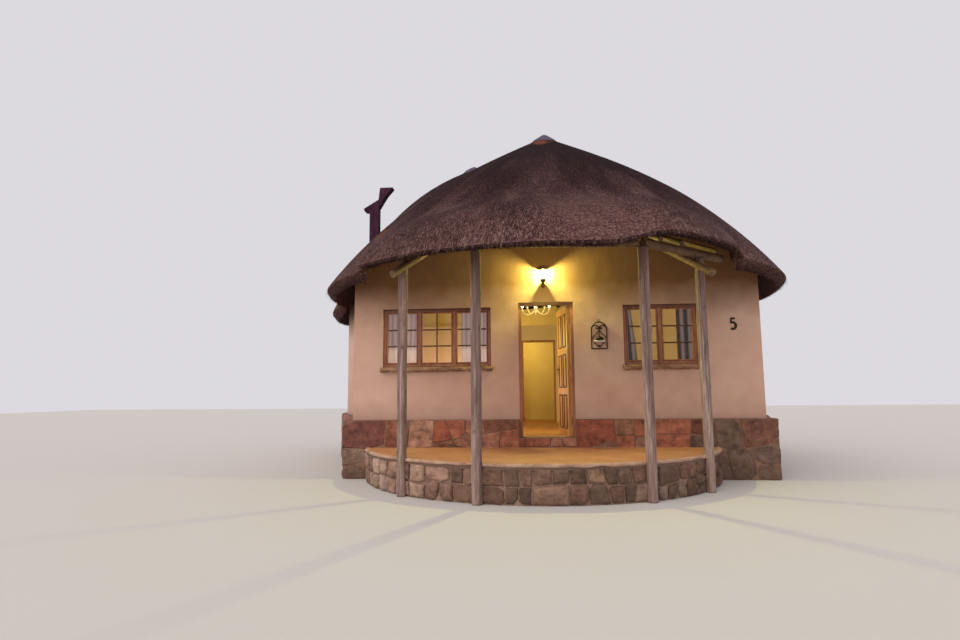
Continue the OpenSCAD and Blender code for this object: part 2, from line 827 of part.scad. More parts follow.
win_front = -front_face + win_back;
function light_w(w, lights) = (w - (lights + 1) * win_frame_w) / lights;
module light_holes(x, w, lights, from_y, depth) {
    for (i = [0:lights - 1])
        translate([
            x + win_frame_w + i * (light_w(w, lights) + win_frame_w), from_y, win_sill_h + win_frame_w
        ])
            cube([light_w(w, lights), depth, win_h - 2 * win_frame_w]);
}
left_lights = 3;
right_lights = 2;
module window_frame(x, w, lights) {
    difference() {
        translate([x, win_front, win_sill_h]) cube([w, win_frame_d, win_h]);
        light_holes(x, w, lights, win_front - over, win_frame_d + 2 * over);
    }
}
module window_frames() {
    color(joinery) {
        window_frame(win_left_x, win_left_w, left_lights);
        window_frame(win_right_x, win_right_w, right_lights);
    }
}
module window_glass() {
    glass_y = win_front + (win_frame_d - glass_t) / 2;
    color("#9fb0b8", 0.5) {
        light_holes(win_left_x, win_left_w, left_lights, glass_y, glass_t);
        light_holes(win_right_x, win_right_w, right_lights, glass_y, glass_t);
    }
}
module sill(x, w) {
    translate([x, -front_face, win_sill_h - sill_t]) cube([w, wall_t, sill_t]);
    translate([x - sill_past, -front_face - sill_out, win_sill_h - sill_t])
        cube([w + 2 * sill_past, sill_out, sill_t]);
}
module window_sills() {
    color(stone) {
        sill(win_left_x, win_left_w);
        sill(win_right_x, win_right_w);
    }
}
rod_past = 60;
rod_above = 70;
curtain_below = 60;
module rod_and_curtains(x, w, left_w, right_w) {
    rod_h = win_top + rod_above;
    curtain_h = win_sill_h - curtain_below;
    translate([x - rod_past, -inner_face + rod_d / 2, rod_h]) rotate([0, 90, 0])
        cylinder(h = w + 2 * rod_past, d = rod_d, $fn = 24);
    for (side = [[x, left_w], [x + w - right_w, right_w]])
        translate([side[0], -inner_face + seat, curtain_h])
            cube([side[1], curtain_t, rod_h - rod_d / 2 - curtain_h]);
}
module curtains() {
    color("#a7a0b4") {
        rod_and_curtains(win_left_x, win_left_w, curtain_left_w, curtain_middle_w);
        rod_and_curtains(win_right_x, win_right_w, curtain_right_w, curtain_right_w);
    }
}

// Caps and chimney

module apex_cap(apex, pitch, flat_r) {
    color("#9a9a98") rotate_extrude() polygon([
        [0, apex - pitch * flat_r + seat], [flat_r, apex - pitch * flat_r + seat],
        [cap_r, apex - pitch * cap_r + seat], [cap_r, apex - pitch * cap_r + seat + cap_t / 2],
        [0, apex + cap_t]
    ]);
}
module apex_cap_main() { apex_cap(main_apex_h, main_pitch, core_r); }
module apex_cap_rear() { translate([rear_x, rear_y, 0]) apex_cap(rear_apex_h, rear_pitch, seat); }

// The flue stands on the room floor
flue_h = top_at(flue_x, flue_y) + flue_rise;
module chimney_flue() {
    color("#3a2c2c") translate([flue_x, flue_y, floor_h]) difference() {
        linear_extrude(flue_h - floor_h) square(flue_w, center = true);
        translate([0, 0, -over]) linear_extrude(flue_h) square(flue_w - 2 * flue_wall, center = true);
    }
}
// Outline of the leaning cowl, as shares of the flue's width and of the cowl's height
cowl_outline = [
    [0, 0], [-0.6, 0.03], [-0.68, 0.13], [1, 0.5], [1.15, 1], [2.6, 1], [1.85, 0.68], [1, 0.16], [1, 0]
];
module chimney_cowl() {
    color("#3a2c2c") translate([flue_x - flue_w / 2, flue_y + flue_w / 2, flue_h]) rotate([90, 0, 0])
        linear_extrude(flue_w) polygon([for (p = cowl_outline) [p[0] * flue_w, p[1] * cowl_h]]);
}

// Fittings

lamp_x = -123;
lamp_shell = 4;
lamp_gap = 20;
lamp_bar = 14;
lamp_bar_drop = 96;
lamp_tip_r = 5;
lamp_neck_r = 20;
lamp_plate_r = 34;
lamp_plate_t = 8;
module wall_lamp() {
    color("#4a3f33") translate([lamp_x, -front_face - lamp_r - lamp_gap, lamp_h]) {
        difference() {
            sphere(lamp_r, $fn = 48);
            cylinder(h = lamp_r + over, r = lamp_r + over, $fn = 48);
            sphere(lamp_r - lamp_shell, $fn = 48);
        }
        translate([0, 0, -lamp_drop])
            cylinder(h = lamp_drop - lamp_r + lamp_shell / 2, r1 = lamp_tip_r, r2 = lamp_neck_r, $fn = 32);
        translate([-lamp_bar / 2, 0, -lamp_bar_drop]) cube([lamp_bar, lamp_r + lamp_gap, lamp_bar]);
        translate([0, lamp_r + lamp_gap, lamp_bar / 2 - lamp_bar_drop]) rotate([90, 0, 0])
            cylinder(h = lamp_plate_t, r = lamp_plate_r, $fn = 48);
    }
}

// Ornament: an arched frame with a middle bar and a shelf
ornament_arch_h = 340;
shelf_h = 110;
shelf_t = 10;
shelf_out = 80;
module ornament_arch(inset) {
    translate([inset - ornament_w / 2, inset])
        square([ornament_w - 2 * inset, ornament_arch_h - inset + over]);
    translate([0, ornament_arch_h]) circle(ornament_w / 2 - inset);
}
module wall_ornament() {
    color("#2d2622") translate([ornament_x, -front_face, ornament_h]) rotate([90, 0, 0]) {
        linear_extrude(ornament_bar) {
            difference() {
                ornament_arch(0);
                ornament_arch(ornament_bar);
            }
            translate([-ornament_bar / 2, ornament_bar / 2])
                square([ornament_bar, ornament_arch_h + ornament_w / 2 - ornament_bar]);
        }
        translate([(ornament_bar - ornament_w) / 2, shelf_h, 0])
            cube([ornament_w - ornament_bar, shelf_t, shelf_out]);
    }
}

// Chandelier: each arm runs out from the stem, dips in a half ring and ends in a candle
lustre_arms = 5;
candle_h = 70;
candle_d = 22;
module chandelier() {
    bend = lustre_r / 4;
    color("#e8e2d2") translate([lustre_x, 0, lustre_h]) {
        translate([0, 0, -bend]) cylinder(h = main_hub_h - lustre_h + bend, d = lustre_d, $fn = 24);
        for (k = [0:lustre_arms - 1]) rotate([0, 0, 90 + 360 * k / lustre_arms]) {
            rotate([0, 90, 0]) cylinder(h = lustre_r - 2 * bend, d = lustre_d, $fn = 16);
            translate([lustre_r - bend, 0, 0]) rotate([90, 0, 0]) rotate([0, 0, 180])
                rotate_extrude(angle = 180) translate([bend, 0]) circle(d = lustre_d, $fn = 16);
            translate([lustre_r, 0, 0]) cylinder(h = candle_h, d = candle_d, $fn = 24);
        }
    }
}

// Inner wall with its doorway

inner_door_right = inner_door_x + inner_door_w;
module inner_band(from, to, low, high) {
    color("#e0c79a") translate([0, 0, low]) linear_extrude(high - low) intersection() {
        room_plan();
        translate([from, inner_wall_y]) square([to - from, inner_wall_t]);
    }
}
inner_head_h = floor_h + inner_door_h;
module inner_wall_left() { inner_band(-far, inner_door_x, floor_h, floor_h + inner_wall_h); }
module inner_wall_right() { inner_band(inner_door_right, far, floor_h, floor_h + inner_wall_h); }
module inner_wall_head() { inner_band(inner_door_x, inner_door_right, inner_head_h, floor_h + inner_wall_h); }
inner_frame_w = 40;
module inner_door_frame() {
    color(joinery) difference() {
        translate([inner_door_x, inner_wall_y, floor_h]) cube([inner_door_w, inner_wall_t, inner_door_h]);
        translate([inner_door_x + inner_frame_w, inner_wall_y - over, floor_h - over])
            cube([
                inner_door_w - 2 * inner_frame_w, inner_wall_t + 2 * over,
                inner_door_h - inner_frame_w + over
            ]);
    }
}

thatch_front();
thatch_right();
thatch_back();
thatch_left();
roof_poles();
porch_rafters();
ring_beams();
hip_poles();
porch_posts();
front_wall_left();
front_wall_right();
front_wall_head();
wall_right();
wall_back();
wall_left();
rear_wall_right();
rear_wall_left();
plinth_front_left();
plinth_front_right();
plinth_right();
plinth_left();
plinth_rear();
floor_slab();
door_step();
porch_wall();
porch_floor();
door_frame();
door_hinges();
door_leaf();
door_fittings();
window_frames();
window_glass();
window_sills();
curtains();
apex_cap_main();
apex_cap_rear();
chimney_flue();
chimney_cowl();
wall_lamp();
wall_ornament();
chandelier();
inner_wall_left();
inner_wall_right();
inner_wall_head();
inner_door_frame();
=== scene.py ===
# %% [markdown]
# # A thatched round house, dressed on its CAD frame
#
# The real house has lime-plastered masonry walls on a sandstone plinth, a round porch in front, and
# one thatch that flows over all of it. The CAD model gives every solid its place and size. This
# lesson adds what CAD leaves out: straw, stones, logs, sashes, cloth, ironwork and finishes.
#
# Everything is in metres. The origin is on the axis of the main round room, on the ground, and the
# front of the house faces -Y. Patterns and small parts are given in millimetres, times MM.

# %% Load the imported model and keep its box
import math
from functools import partial

import bmesh
import bpy
import numpy as np
from mathutils import Matrix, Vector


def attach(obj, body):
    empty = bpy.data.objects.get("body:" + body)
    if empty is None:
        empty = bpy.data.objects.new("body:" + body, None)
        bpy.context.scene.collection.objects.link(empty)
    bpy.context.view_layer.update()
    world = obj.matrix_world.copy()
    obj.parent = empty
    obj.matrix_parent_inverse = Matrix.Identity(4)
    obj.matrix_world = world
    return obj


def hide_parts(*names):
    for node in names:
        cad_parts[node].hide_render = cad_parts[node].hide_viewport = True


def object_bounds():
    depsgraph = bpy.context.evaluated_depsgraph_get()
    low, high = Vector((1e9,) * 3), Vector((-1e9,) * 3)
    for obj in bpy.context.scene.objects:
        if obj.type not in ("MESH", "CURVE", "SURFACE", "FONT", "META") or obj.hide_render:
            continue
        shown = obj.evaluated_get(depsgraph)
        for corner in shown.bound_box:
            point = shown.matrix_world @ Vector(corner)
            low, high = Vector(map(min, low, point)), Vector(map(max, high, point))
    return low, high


MM = 0.001
TURN = 2 * math.pi
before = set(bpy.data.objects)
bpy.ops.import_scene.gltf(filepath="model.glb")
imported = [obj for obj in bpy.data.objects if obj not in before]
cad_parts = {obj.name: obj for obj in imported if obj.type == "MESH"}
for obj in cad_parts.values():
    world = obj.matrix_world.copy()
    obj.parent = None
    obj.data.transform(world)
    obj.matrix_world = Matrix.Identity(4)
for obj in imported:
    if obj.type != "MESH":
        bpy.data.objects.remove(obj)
cad_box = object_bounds()
# Straws and caps are clipped to the CAD model's box, drawn in by 1 mm.
box_low, box_high = np.array(cad_box[0]) + 1 * MM, np.array(cad_box[1]) - 1 * MM
print("CAD box:", np.round(cad_box, 3).tolist())

# %% [markdown]
# ## Colours and shader nodes
#
# A finish is a small network of nodes that ends in one shader. It could be clicked together by
# hand, but a script can say it as a formula and use it again. Colours are written as sRGB hex
# codes, as a paint chart gives them, and one function turns them into linear numbers. One more
# function adds a node of any kind, fills its sockets and hands on what comes out of it.

# %% Colour and node helpers


def srgb(code):
    """Linear colour of an sRGB hex code: c / 12.92 up to 0.04045, and ((c + 0.055) / 1.055) ^ 2.4
    above it."""
    c = [int(code[k:k + 2], 16) / 255 for k in (1, 3, 5)]
    return (*(one / 12.92 if one <= 0.04045 else ((one + 0.055) / 1.055) ** 2.4 for one in c), 1.0)


def fill(socket, value):
    """Gives a socket a number or a colour, or links another node's output to it."""
    if isinstance(value, bpy.types.NodeSocket):
        socket.id_data.links.new(value, socket)
    elif value is not None:
        socket.default_value = value


def feed(node, **sockets):
    """Fills sockets by name, with _ for a space."""
    for key, value in sockets.items():
        fill(node.inputs[key.replace("_", " ")], value)


def add(tree, kind, *values, out=0, stops=(), **named):
    """Adds one node and returns one of its outputs. values fill the sockets in use, in their order.
    A name with a capital is a socket, any other is a setting. stops are the (position, hex code)
    pairs of a colour ramp."""
    n = tree.nodes.new("ShaderNode" + kind)
    for key, value in named.items():
        if key[0].islower():
            setattr(n, key, value)
    for socket, value in zip([s for s in n.inputs if s.enabled], values):
        fill(socket, value)
    feed(n, **{key: value for key, value in named.items() if key[0].isupper()})
    for _ in stops[2:]:
        n.color_ramp.elements.new(0.5)
    for k, (position, code) in enumerate(stops):
        n.color_ramp.elements[k].position = position
        n.color_ramp.elements[k].color = srgb(code)
    return n.outputs[out] if isinstance(out, str) else [s for s in n.outputs if s.enabled][out]


def material(name, **sockets):
    """A new material, a function that adds nodes to it, and its shader with some sockets set."""
    m = bpy.data.materials.new(name)
    m.use_nodes = True
    shader = m.node_tree.nodes["Principled BSDF"]
    feed(shader, **sockets)
    print("material:", m.name)
    return m, partial(add, m.node_tree), shader


def place(node, stretch=(1, 1, 1)):
    """The point on the object in metres, with its axes stretched."""
    return node("Mapping", Vector=node("TexCoord", out="Object"), Scale=stretch)


def paint(mat, *names):
    """Gives CAD nodes a material; their shapes stay as they are."""
    for name in names:
        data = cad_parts[name].data
        data.materials.clear()
        data.materials.append(mat)
    print(f"{mat.name}: on {', '.join(names)}")


# %% [markdown]
# ## Meshes from arrays
#
# Every new piece is a surface worked out with numpy: a function of two parameters on a grid, or a
# profile carried along a path. Modelling by hand would be quicker for one piece, but a formula
# keeps each size in view and gives the same mesh on every run.

# %% Mesh helpers


def mesh_object(name, verts, faces, mat, smooth=True, body="house", slot=None, values=None):
    """A mesh from (n, 3) points and faces, riding on a body. values are kept on its points: a
    column of numbers, or rows of red, green and blue."""
    verts = np.asarray(verts, np.float32)
    mesh = bpy.data.meshes.new(name)
    if isinstance(faces, np.ndarray):
        count, sides = faces.shape
        mesh.vertices.add(len(verts))
        mesh.vertices.foreach_set("co", verts.ravel())
        mesh.loops.add(count * sides)
        mesh.loops.foreach_set("vertex_index", faces.astype(np.int32).ravel())
        mesh.polygons.add(count)
        mesh.polygons.foreach_set("loop_start", np.arange(0, count * sides, sides, dtype=np.int32))
        mesh.update(calc_edges=True)
    else:
        mesh.from_pydata(verts.tolist(), [], faces)
        mesh.update()
    mesh.validate()
    mesh.polygons.foreach_set("use_smooth", np.full(len(mesh.polygons), smooth))
    for key, data in (values or {}).items():
        data = np.asarray(data, np.float32)
        if data.ndim == 2:
            full = np.c_[data, np.ones(len(data), np.float32)]
            mesh.attributes.new(key, "FLOAT_COLOR", "POINT").data.foreach_set("color", full.ravel())
        else:
            mesh.attributes.new(key, "FLOAT", "POINT").data.foreach_set("value", data)
    mesh.materials.append(mat)
    obj = bpy.data.objects.new(name, mesh)
    bpy.context.scene.collection.objects.link(obj)
    if body:
        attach(obj, body)
    print(f"{name}: {len(verts)} points, {len(mesh.polygons)} faces")
    return obj


def joined(parts):
    """One (points, faces) pair from many: each part's faces count on from the points before it."""
    verts, faces, start = [], [], 0
    for v, f in parts:
        verts.append(np.asarray(v, float))
        faces += [[i + start for i in one] for one in f]
        start += len(v)
    return np.concatenate(verts), faces


def closed_piece(name, parts, mat, slot, stands_for=None, **options):
    """One object from closed parts, with all faces turned outward. It may stand for a CAD node."""
    obj = mesh_object(name, *joined(parts), mat, slot=slot, **options)
    work = bmesh.new()
    work.from_mesh(obj.data)
    bmesh.ops.recalc_face_normals(work, faces=work.faces)
    work.to_mesh(obj.data)
    work.free()
    if stands_for:
        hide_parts(stands_for)
    return obj


def grid_faces(rows, cols, wrap=False):
    """Quads of a grid of rows x cols points; wrap joins the last column to the first."""
    i, j = np.meshgrid(np.arange(rows - 1), np.arange(cols if wrap else cols - 1), indexing="ij")
    k = (j + 1) % cols
    quads = [i * cols + j, i * cols + k, (i + 1) * cols + k, (i + 1) * cols + j]
    return np.stack(quads, -1).reshape(-1, 4)


def tube_faces(rings, count, top=True):
    """Faces of a tube of rings with count points each, with one flat face over its foot and, where
    it is asked for, one over its top."""
    ends = [list(range(count))[::-1], [(rings - 1) * count + i for i in range(count)]]
    return grid_faces(rings, count, True).tolist() + ends[:2 if top else 1]


def sweep(points, radius, count=10, closed=False):
    """A tube round a line of points. Each ring is square to the line, and its first direction is
    the last ring's, less its part along the line, so the tube doesn't twist."""
    p = np.asarray(points, float)
    t = np.roll(p, -1, 0) - np.roll(p, 1, 0) if closed else np.gradient(p, axis=0)
    t /= np.linalg.norm(t, axis=1)[:, None]
    a = np.linspace(0, TURN, count, endpoint=False)[:, None]
    r = np.broadcast_to(np.asarray(radius, float), len(p))
    u = np.cross(t[0], (0.31, 0.22, 0.92))
    rings = []
    for k in range(len(p)):
        u = u - t[k] * (u @ t[k])
        u /= np.linalg.norm(u)
        rings.append(p[k] + r[k] * (np.cos(a) * u + np.sin(a) * np.cross(t[k], u)))
    v = np.concatenate(rings)
    if not closed:
        return v, tube_faces(len(p), count)
    last = (len(p) - 1) * count
    loop = [[last + i, last + (i + 1) % count, (i + 1) % count, i] for i in range(count)]
    return v, grid_faces(len(p), count, True).tolist() + loop


def curve(points, count):
    """count points on a smooth line through the given ones: for a, b, c, d in a row, half of
    2 b + (c - a) t + (2 a - 5 b + 4 c - d) t^2 + (3 b - a - 3 c + d) t^3 from b to c."""
    p = np.asarray(points, float)
    p = np.r_[[2 * p[0] - p[1]], p, [2 * p[-1] - p[-2]]]
    q = np.linspace(0, len(p) - 3 - 1e-9, count)
    i, t = q.astype(int), (q - q.astype(int))[:, None]
    a, b, c, d = (p[i + k] for k in range(4))
    return 0.5 * (2 * b + (c - a) * t + (2 * a - 5 * b + 4 * c - d) * t ** 2
                  + (3 * b - a - 3 * c + d) * t ** 3)


def turned(profile, at, count=24):
    """A turned form: each (r, h) of the profile, from the bottom up, becomes a ring of points
    at + (r cos a, r sin a, h)."""
    a = np.linspace(0, TURN, count, endpoint=False)
    r, h = np.array(profile, float).T[:, :, None]
    rings = np.stack(np.broadcast_arrays(r * np.cos(a), r * np.sin(a), h), -1)
    return rings.reshape(-1, 3) + np.array(at), tube_faces(len(profile), count)


def ease(t):
    """3 t^2 - 2 t^3 between 0 and 1."""
    t = np.clip(t, 0, 1)
    return t * t * (3 - 2 * t)


def lattice(x, y, seed, wrap=0):
    """Smooth noise from -1 to 1: random numbers on the whole-number points, blended between them by
    3 t^2 - 2 t^3. wrap makes it repeat along x."""
    r = np.random.default_rng(seed).uniform(-1, 1, (256, 256))
    x0, y0 = np.floor(x).astype(int), np.floor(y).astype(int)
    u, v = ease(x - x0), ease(y - y0)

    def at(i, j):
        return r[(i % wrap if wrap else i) % 256, j % 256]

    low = at(x0, y0) * (1 - u) + at(x0 + 1, y0) * u
    high = at(x0, y0 + 1) * (1 - u) + at(x0 + 1, y0 + 1) * u
    return low * (1 - v) + high * v


def polar(r, a, z=None, centre=(0.0, 0.0)):
    """Points at radius r and angle a round an upright axis: (x + r cos a, y + r sin a, z)."""
    x, y = centre[0] + r * np.cos(a), centre[1] + r * np.sin(a)
    return np.c_[x, y] if z is None else np.c_[x, y, z]


# %% [markdown]
# ## Camera
#
# The photograph was taken 11.3 m in front of the main axis at 1.3 m above the ground, with a wide
# lens. A camera could be moved by eye until the picture fits. Here its place and its turns were
# worked out from the door, the windows and the round porch, and its lens from a focal length of
# 601.3 pixels on a picture 960 pixels wide.

# %% Camera at the photograph's place
CAMERA_AT = (-0.343, -11.349, 1.304)
FOCAL, PICTURE_W, SENSOR_W = 601.3, 960, 36.0
pitch, yaw, roll = 0.1192, -0.0828, 0.0086

ahead = np.array([math.sin(yaw) * math.cos(pitch), math.cos(yaw) * math.cos(pitch),
                  math.sin(pitch)])
level = np.array([math.cos(yaw), -math.sin(yaw), 0.0])
above = np.cross(level, ahead)
right = math.cos(roll) * level - math.sin(roll) * above
up = math.sin(roll) * level + math.cos(roll) * above


def axes_at(x, y, z, at):
    """The matrix of an object at a point whose own axes are x, y and z."""
    return Matrix([[x[k], y[k], z[k], at[k]] for k in range(3)] + [[0, 0, 0, 1]])


camera = bpy.data.objects.new("camera", bpy.data.cameras.new("camera"))
camera.matrix_world = axes_at(right, up, -ahead, CAMERA_AT)
camera.data.sensor_width = SENSOR_W
camera.data.lens = FOCAL / PICTURE_W * SENSOR_W
bpy.context.scene.collection.objects.link(camera)
bpy.context.scene.camera = camera
print(f"camera: lens {camera.data.lens:.2f} mm")

# %% [markdown]
# ## Floor and light
#
# The house stands on a pale floor under a pale sky that lights it all round, with one large soft
# light from the front left. The lamp over the door and the lamps in the rooms are lit, so small
# warm lights stand where they are. A glowing bulb alone could do it, but a light's power is easier
# to set and makes less speckle.

# %% Floor and sky
FLOOR_HALF, FLOOR_Z = 40, -2 * MM
stage_mat, _, _ = material("stage_floor", Roughness=0.9, Base_Color=srgb("#c9c4be"))
floor_corners = [(x * FLOOR_HALF, y * FLOOR_HALF, FLOOR_Z)
                 for x, y in ((-1, -1), (1, -1), (1, 1), (-1, 1))]
mesh_object("stage_floor", floor_corners, [[0, 1, 2, 3]], stage_mat, body=None)

world = bpy.data.worlds.new("sky")
world.use_nodes = True
feed(world.node_tree.nodes["Background"], Color=srgb("#eceaf0"), Strength=0.85)
bpy.context.scene.world = world

# %% Lamps


def lamp(name, kind, at, power, colour, spread):
    """A light of a power in watts. A sun shines from its place to 1 m above the origin, and spread
    is the width of its disc in radians; spread is a point lamp's radius."""
    data = bpy.data.lights.new(name, kind)
    data.energy = power
    data.color = srgb(colour)[:3]
    obj = bpy.data.objects.new(name, data)
    if kind == "SUN":
        data.angle = spread
        z = np.array(at, float) - (0, 0, 1)
        z /= np.linalg.norm(z)
        x = np.cross((0, 0, 1.0), z)
        x /= np.linalg.norm(x)
        obj.matrix_world = axes_at(x, np.cross(z, x), z, at)
    else:
        data.shadow_soft_size = spread
        obj.location = at
    bpy.context.scene.collection.objects.link(obj)
    print(f"{name}: {power} at {at}")


lamp("key_light", "SUN", (-6, -9, 10), 1.6, "#fff6ee", math.radians(60))
lamp("porch_glow", "POINT", (-0.123, -2.085, 3.148), 165, "#f8fb8c", 0.018)
lamp("porch_fill", "POINT", (-0.12, -2.6, 2.9), 17, "#f0e66a", 0.05)
lamp("room_low", "POINT", (-2.1, 1.7, 1.35), 36, "#ffc6b0", 0.1)
lamp("room_left", "POINT", (-0.8, -0.9, 2.2), 64, "#fae88a", 0.1)
lamp("room_right", "POINT", (0.85, -0.9, 2.2), 50, "#fae88a", 0.1)
lamp("rear_glow", "POINT", (-1.0, 3.4, 2.5), 32, "#ffd968", 0.12)

# %% [markdown]
# ## The roof as a formula
#
# A thatch has no creases: its layers are dressed into one flowing skin. Sculpting could copy that,
# but here three curled roofs are blended, each with a point's height, a straight slope and a curl
# that grows towards its eave. The CAD model's thatch was worked out in the same way, so the skin
# sits on it everywhere.

# %% Roof sizes
REAR_AWAY, REAR_AZ = 2.449, math.radians(129.1)
REAR = (REAR_AWAY * math.cos(REAR_AZ), REAR_AWAY * math.sin(REAR_AZ))
PORCH = (-0.235, -1.543)
MAIN_EAVE_R, REAR_EAVE_R, PORCH_EAVE_R = 4.06, 3.1, 3.2
MAIN_ROOF = dict(apex=6.25, pitch=0.59, eave_r=MAIN_EAVE_R, eave_h=3.05, curl=4)
REAR_ROOF = dict(apex=6.39, pitch=0.55, eave_r=REAR_EAVE_R, eave_h=2.97, curl=3)
# The porch roof ends this far to either side of the porch's axis.
PORCH_PAST_RIGHT, PORCH_PAST_LEFT = 2.655, 2.415
BLEND = 0.1
THATCH_T, PORCH_THATCH_T = 0.2, 0.145

# %% Roof functions


def curled(r, apex, pitch, eave_r, eave_h, curl):
    """apex - pitch r - (apex - eave_h - pitch eave_r) (r / eave_r) ^ curl"""
    return apex - pitch * r - (apex - eave_h - pitch * eave_r) * (r / eave_r) ** curl


def porch_roof(x, y):
    """2.97 + a 0.2 rise to the right + 0.45 (3.2 - r) + 0.39 (1 - (r / 3.2)^8), and 0.5 lower past
    its two sides."""
    u, v = x - PORCH[0], y - PORCH[1]
    r = np.hypot(u, v)
    past = np.maximum(u - PORCH_PAST_RIGHT, -u - PORCH_PAST_LEFT)
    eave_h = 2.97 + 0.2 * ease((u - 0.7) / 1.0)
    slope = 0.45 * (PORCH_EAVE_R - r) + 0.39 * (1 - (r / PORCH_EAVE_R) ** 8)
    return eave_h + slope - 0.5 * ease(past / 0.25)


def roof_top(x, y, k=BLEND):
    """Soft maximum of the three roofs, m + k ln(sum exp((h - m) / k)), and the porch's share."""
    main = curled(np.hypot(x, y), **MAIN_ROOF)
    rear = curled(np.hypot(x - REAR[0], y - REAR[1]), **REAR_ROOF)
    h = np.stack((main, rear, porch_roof(x, y)))
    m = h.max(0)
    e = np.exp((h - m) / k)
    return m + k * np.log(e.sum(0)), e[2] / e.sum(0)


def roof_slope(x, y, d=0.01):
    """Rise of the roof along X and along Y, from points d either side."""
    gx = (roof_top(x + d, y)[0] - roof_top(x - d, y)[0]) / (2 * d)
    gy = (roof_top(x, y + d)[0] - roof_top(x, y - d)[0]) / (2 * d)
    return gx, gy


def roof_under(x, y):
    """Underside: the top less the thickness times the steepness sqrt(1 + gx^2 + gy^2)."""
    z, share = roof_top(x, y)
    gx, gy = roof_slope(x, y)
    thickness = THATCH_T * (1 - share) + PORCH_THATCH_T * share
    return z - thickness * np.sqrt(1 + gx ** 2 + gy ** 2)


def to_circle(az, cx, cy, r):
    """Distance from the origin along az to a circle round (cx, cy), which is
    c + sqrt(r^2 - cx^2 - cy^2 + c^2), where c is the centre's part along az."""
    along = cx * np.cos(az) + cy * np.sin(az)
    return along + np.sqrt(np.maximum(r * r - cx * cx - cy * cy + along ** 2, 0))


def eave_reach(az):
    """Plan outline of the eave: the largest of the three roofs' reach along az. The porch's is its
    circle, or its straight left or right side where that is nearer."""
    c = np.cos(az)
    side = np.where(c < 0, (PORCH[0] - PORCH_PAST_LEFT) / np.minimum(c, -1e-3),
                    (PORCH[0] + PORCH_PAST_RIGHT) / np.maximum(c, 1e-3))
    porch = np.where(np.sin(az) < 0, np.minimum(to_circle(az, *PORCH, PORCH_EAVE_R), side), 0)
    return np.maximum(np.maximum(MAIN_EAVE_R, porch), to_circle(az, *REAR, REAR_EAVE_R))


print("roof height over the main axis:", np.round(roof_top(0.0, 0.0)[0], 3))

# %% [markdown]
# ## Thatch
#
# Thatching grass is laid in bundles, combed down the slope and cut off square at the eave. Weather
# turns it grey-brown: nearly black and matt near the top, paler and warmer towards the eave. So
# the eye reads dull dark fibre with soft streaks down the slope, and no shine at all. The finish
# mixes a dark and a pale straw by three things: large clumps, streaks, and how near the eave is.

# %% Thatch finish
thatch_mat, node, shader = material("thatch_straw", Roughness=0.95, Specular_IOR_Level=0.1)
at = place(node)
strand = node("Attribute", out="Color", attribute_name="strand")
eave = node("Attribute", out="Fac", attribute_name="eave")
rust = node("Attribute", out="Fac", attribute_name="rust")

# Bundles lie about 90 mm apart and weather in clumps of about 450 mm. A straw is 3 to 5 mm thick,
# too fine to show from here, so the fibre is drawn at 35 mm and its hollows at 120 mm.
streaks = node("TexNoise", Vector=strand, Scale=1 / (90 * MM), Detail=4, Roughness=0.6)
streaks = node("Math", streaks, 0.6, -0.1, operation="MULTIPLY_ADD")
clumps = node("TexNoise", Vector=at, Scale=1 / (450 * MM), Detail=5, Roughness=0.65)
clumps = node("Math", clumps, 0.5, streaks, operation="MULTIPLY_ADD")
fine = node("TexNoise", Vector=at, Scale=1 / (35 * MM), Detail=3, Roughness=0.7)
hollows = node("TexNoise", Vector=at, Scale=1 / (120 * MM), Detail=4, Roughness=0.6)

dark = node("ValToRGB", fine, stops=[(0.32, "#12080a"), (0.5, "#261417"), (0.66, "#412829")])
pale = node("ValToRGB", fine, stops=[(0.3, "#382325"), (0.5, "#634541"), (0.68, "#8b6c64")])
rusty = node("ValToRGB", fine, stops=[(0.3, "#4a2418"), (0.7, "#93583f")])
how_pale = node("Math", eave, 1.1, -0.45, operation="MULTIPLY_ADD")
how_pale = node("Math", clumps, 0.5, how_pale, operation="MULTIPLY_ADD")
colour = node("Mix", how_pale, dark, pale, data_type="RGBA")
colour = node("Mix", rust, colour, rusty, data_type="RGBA")
low = node("Bump", Height=hollows, Distance=20 * MM, Strength=0.6)
high = node("Bump", Height=fine, Distance=12 * MM, Strength=0.9, Normal=low)
feed(shader, Base_Color=colour, Normal=high)

# %% [markdown]
# ## Thatch skin
#
# The skin is one closed sheet on a polar grid: from the roof's point down to the eave, round the
# cut straw edge, and back up underneath. A polar grid suits a roof whose lines all run down from
# one point. Bundles of straw lift and sink it by a few millimetres.

# %% Thatch skin as a polar grid
N_AZ, TOP_ROWS, EDGE_ROWS, UNDER_ROWS = 640, 92, 8, 30
EDGE, LIP_BACK, CLOSEST = 12 * MM, 150 * MM, 30 * MM
# Rows lie closer together near the eave by this power.
ROW_POWER = 1.436
az = np.linspace(0, TURN, N_AZ, endpoint=False)
reach = eave_reach(az)
for _ in range(2):
    reach = (np.roll(reach, 1) + 2 * reach + np.roll(reach, -1)) / 4
reach = reach - EDGE
rows = []

# The upper side: noise in bundles 7.5 and 2.25 degrees wide, which fades at the roof's point, where
# the bundles meet.
for share in 1 - (1 - np.linspace(0.0, 1.0, TOP_ROWS)) ** ROW_POWER:
    r = np.maximum(reach * share, CLOSEST)
    p = polar(r, az)
    v = r / 0.9
    lump = (8 * MM * lattice(az * 24 / math.pi, v * 1.3, 3, 48)
            + 5 * MM * lattice(az * 80 / math.pi, v * 2.2, 4, 160))
    rows.append(np.c_[p, roof_top(*p.T)[0] - 5 * MM + lump * np.minimum(1, (r / 2.2) ** 1.5)])

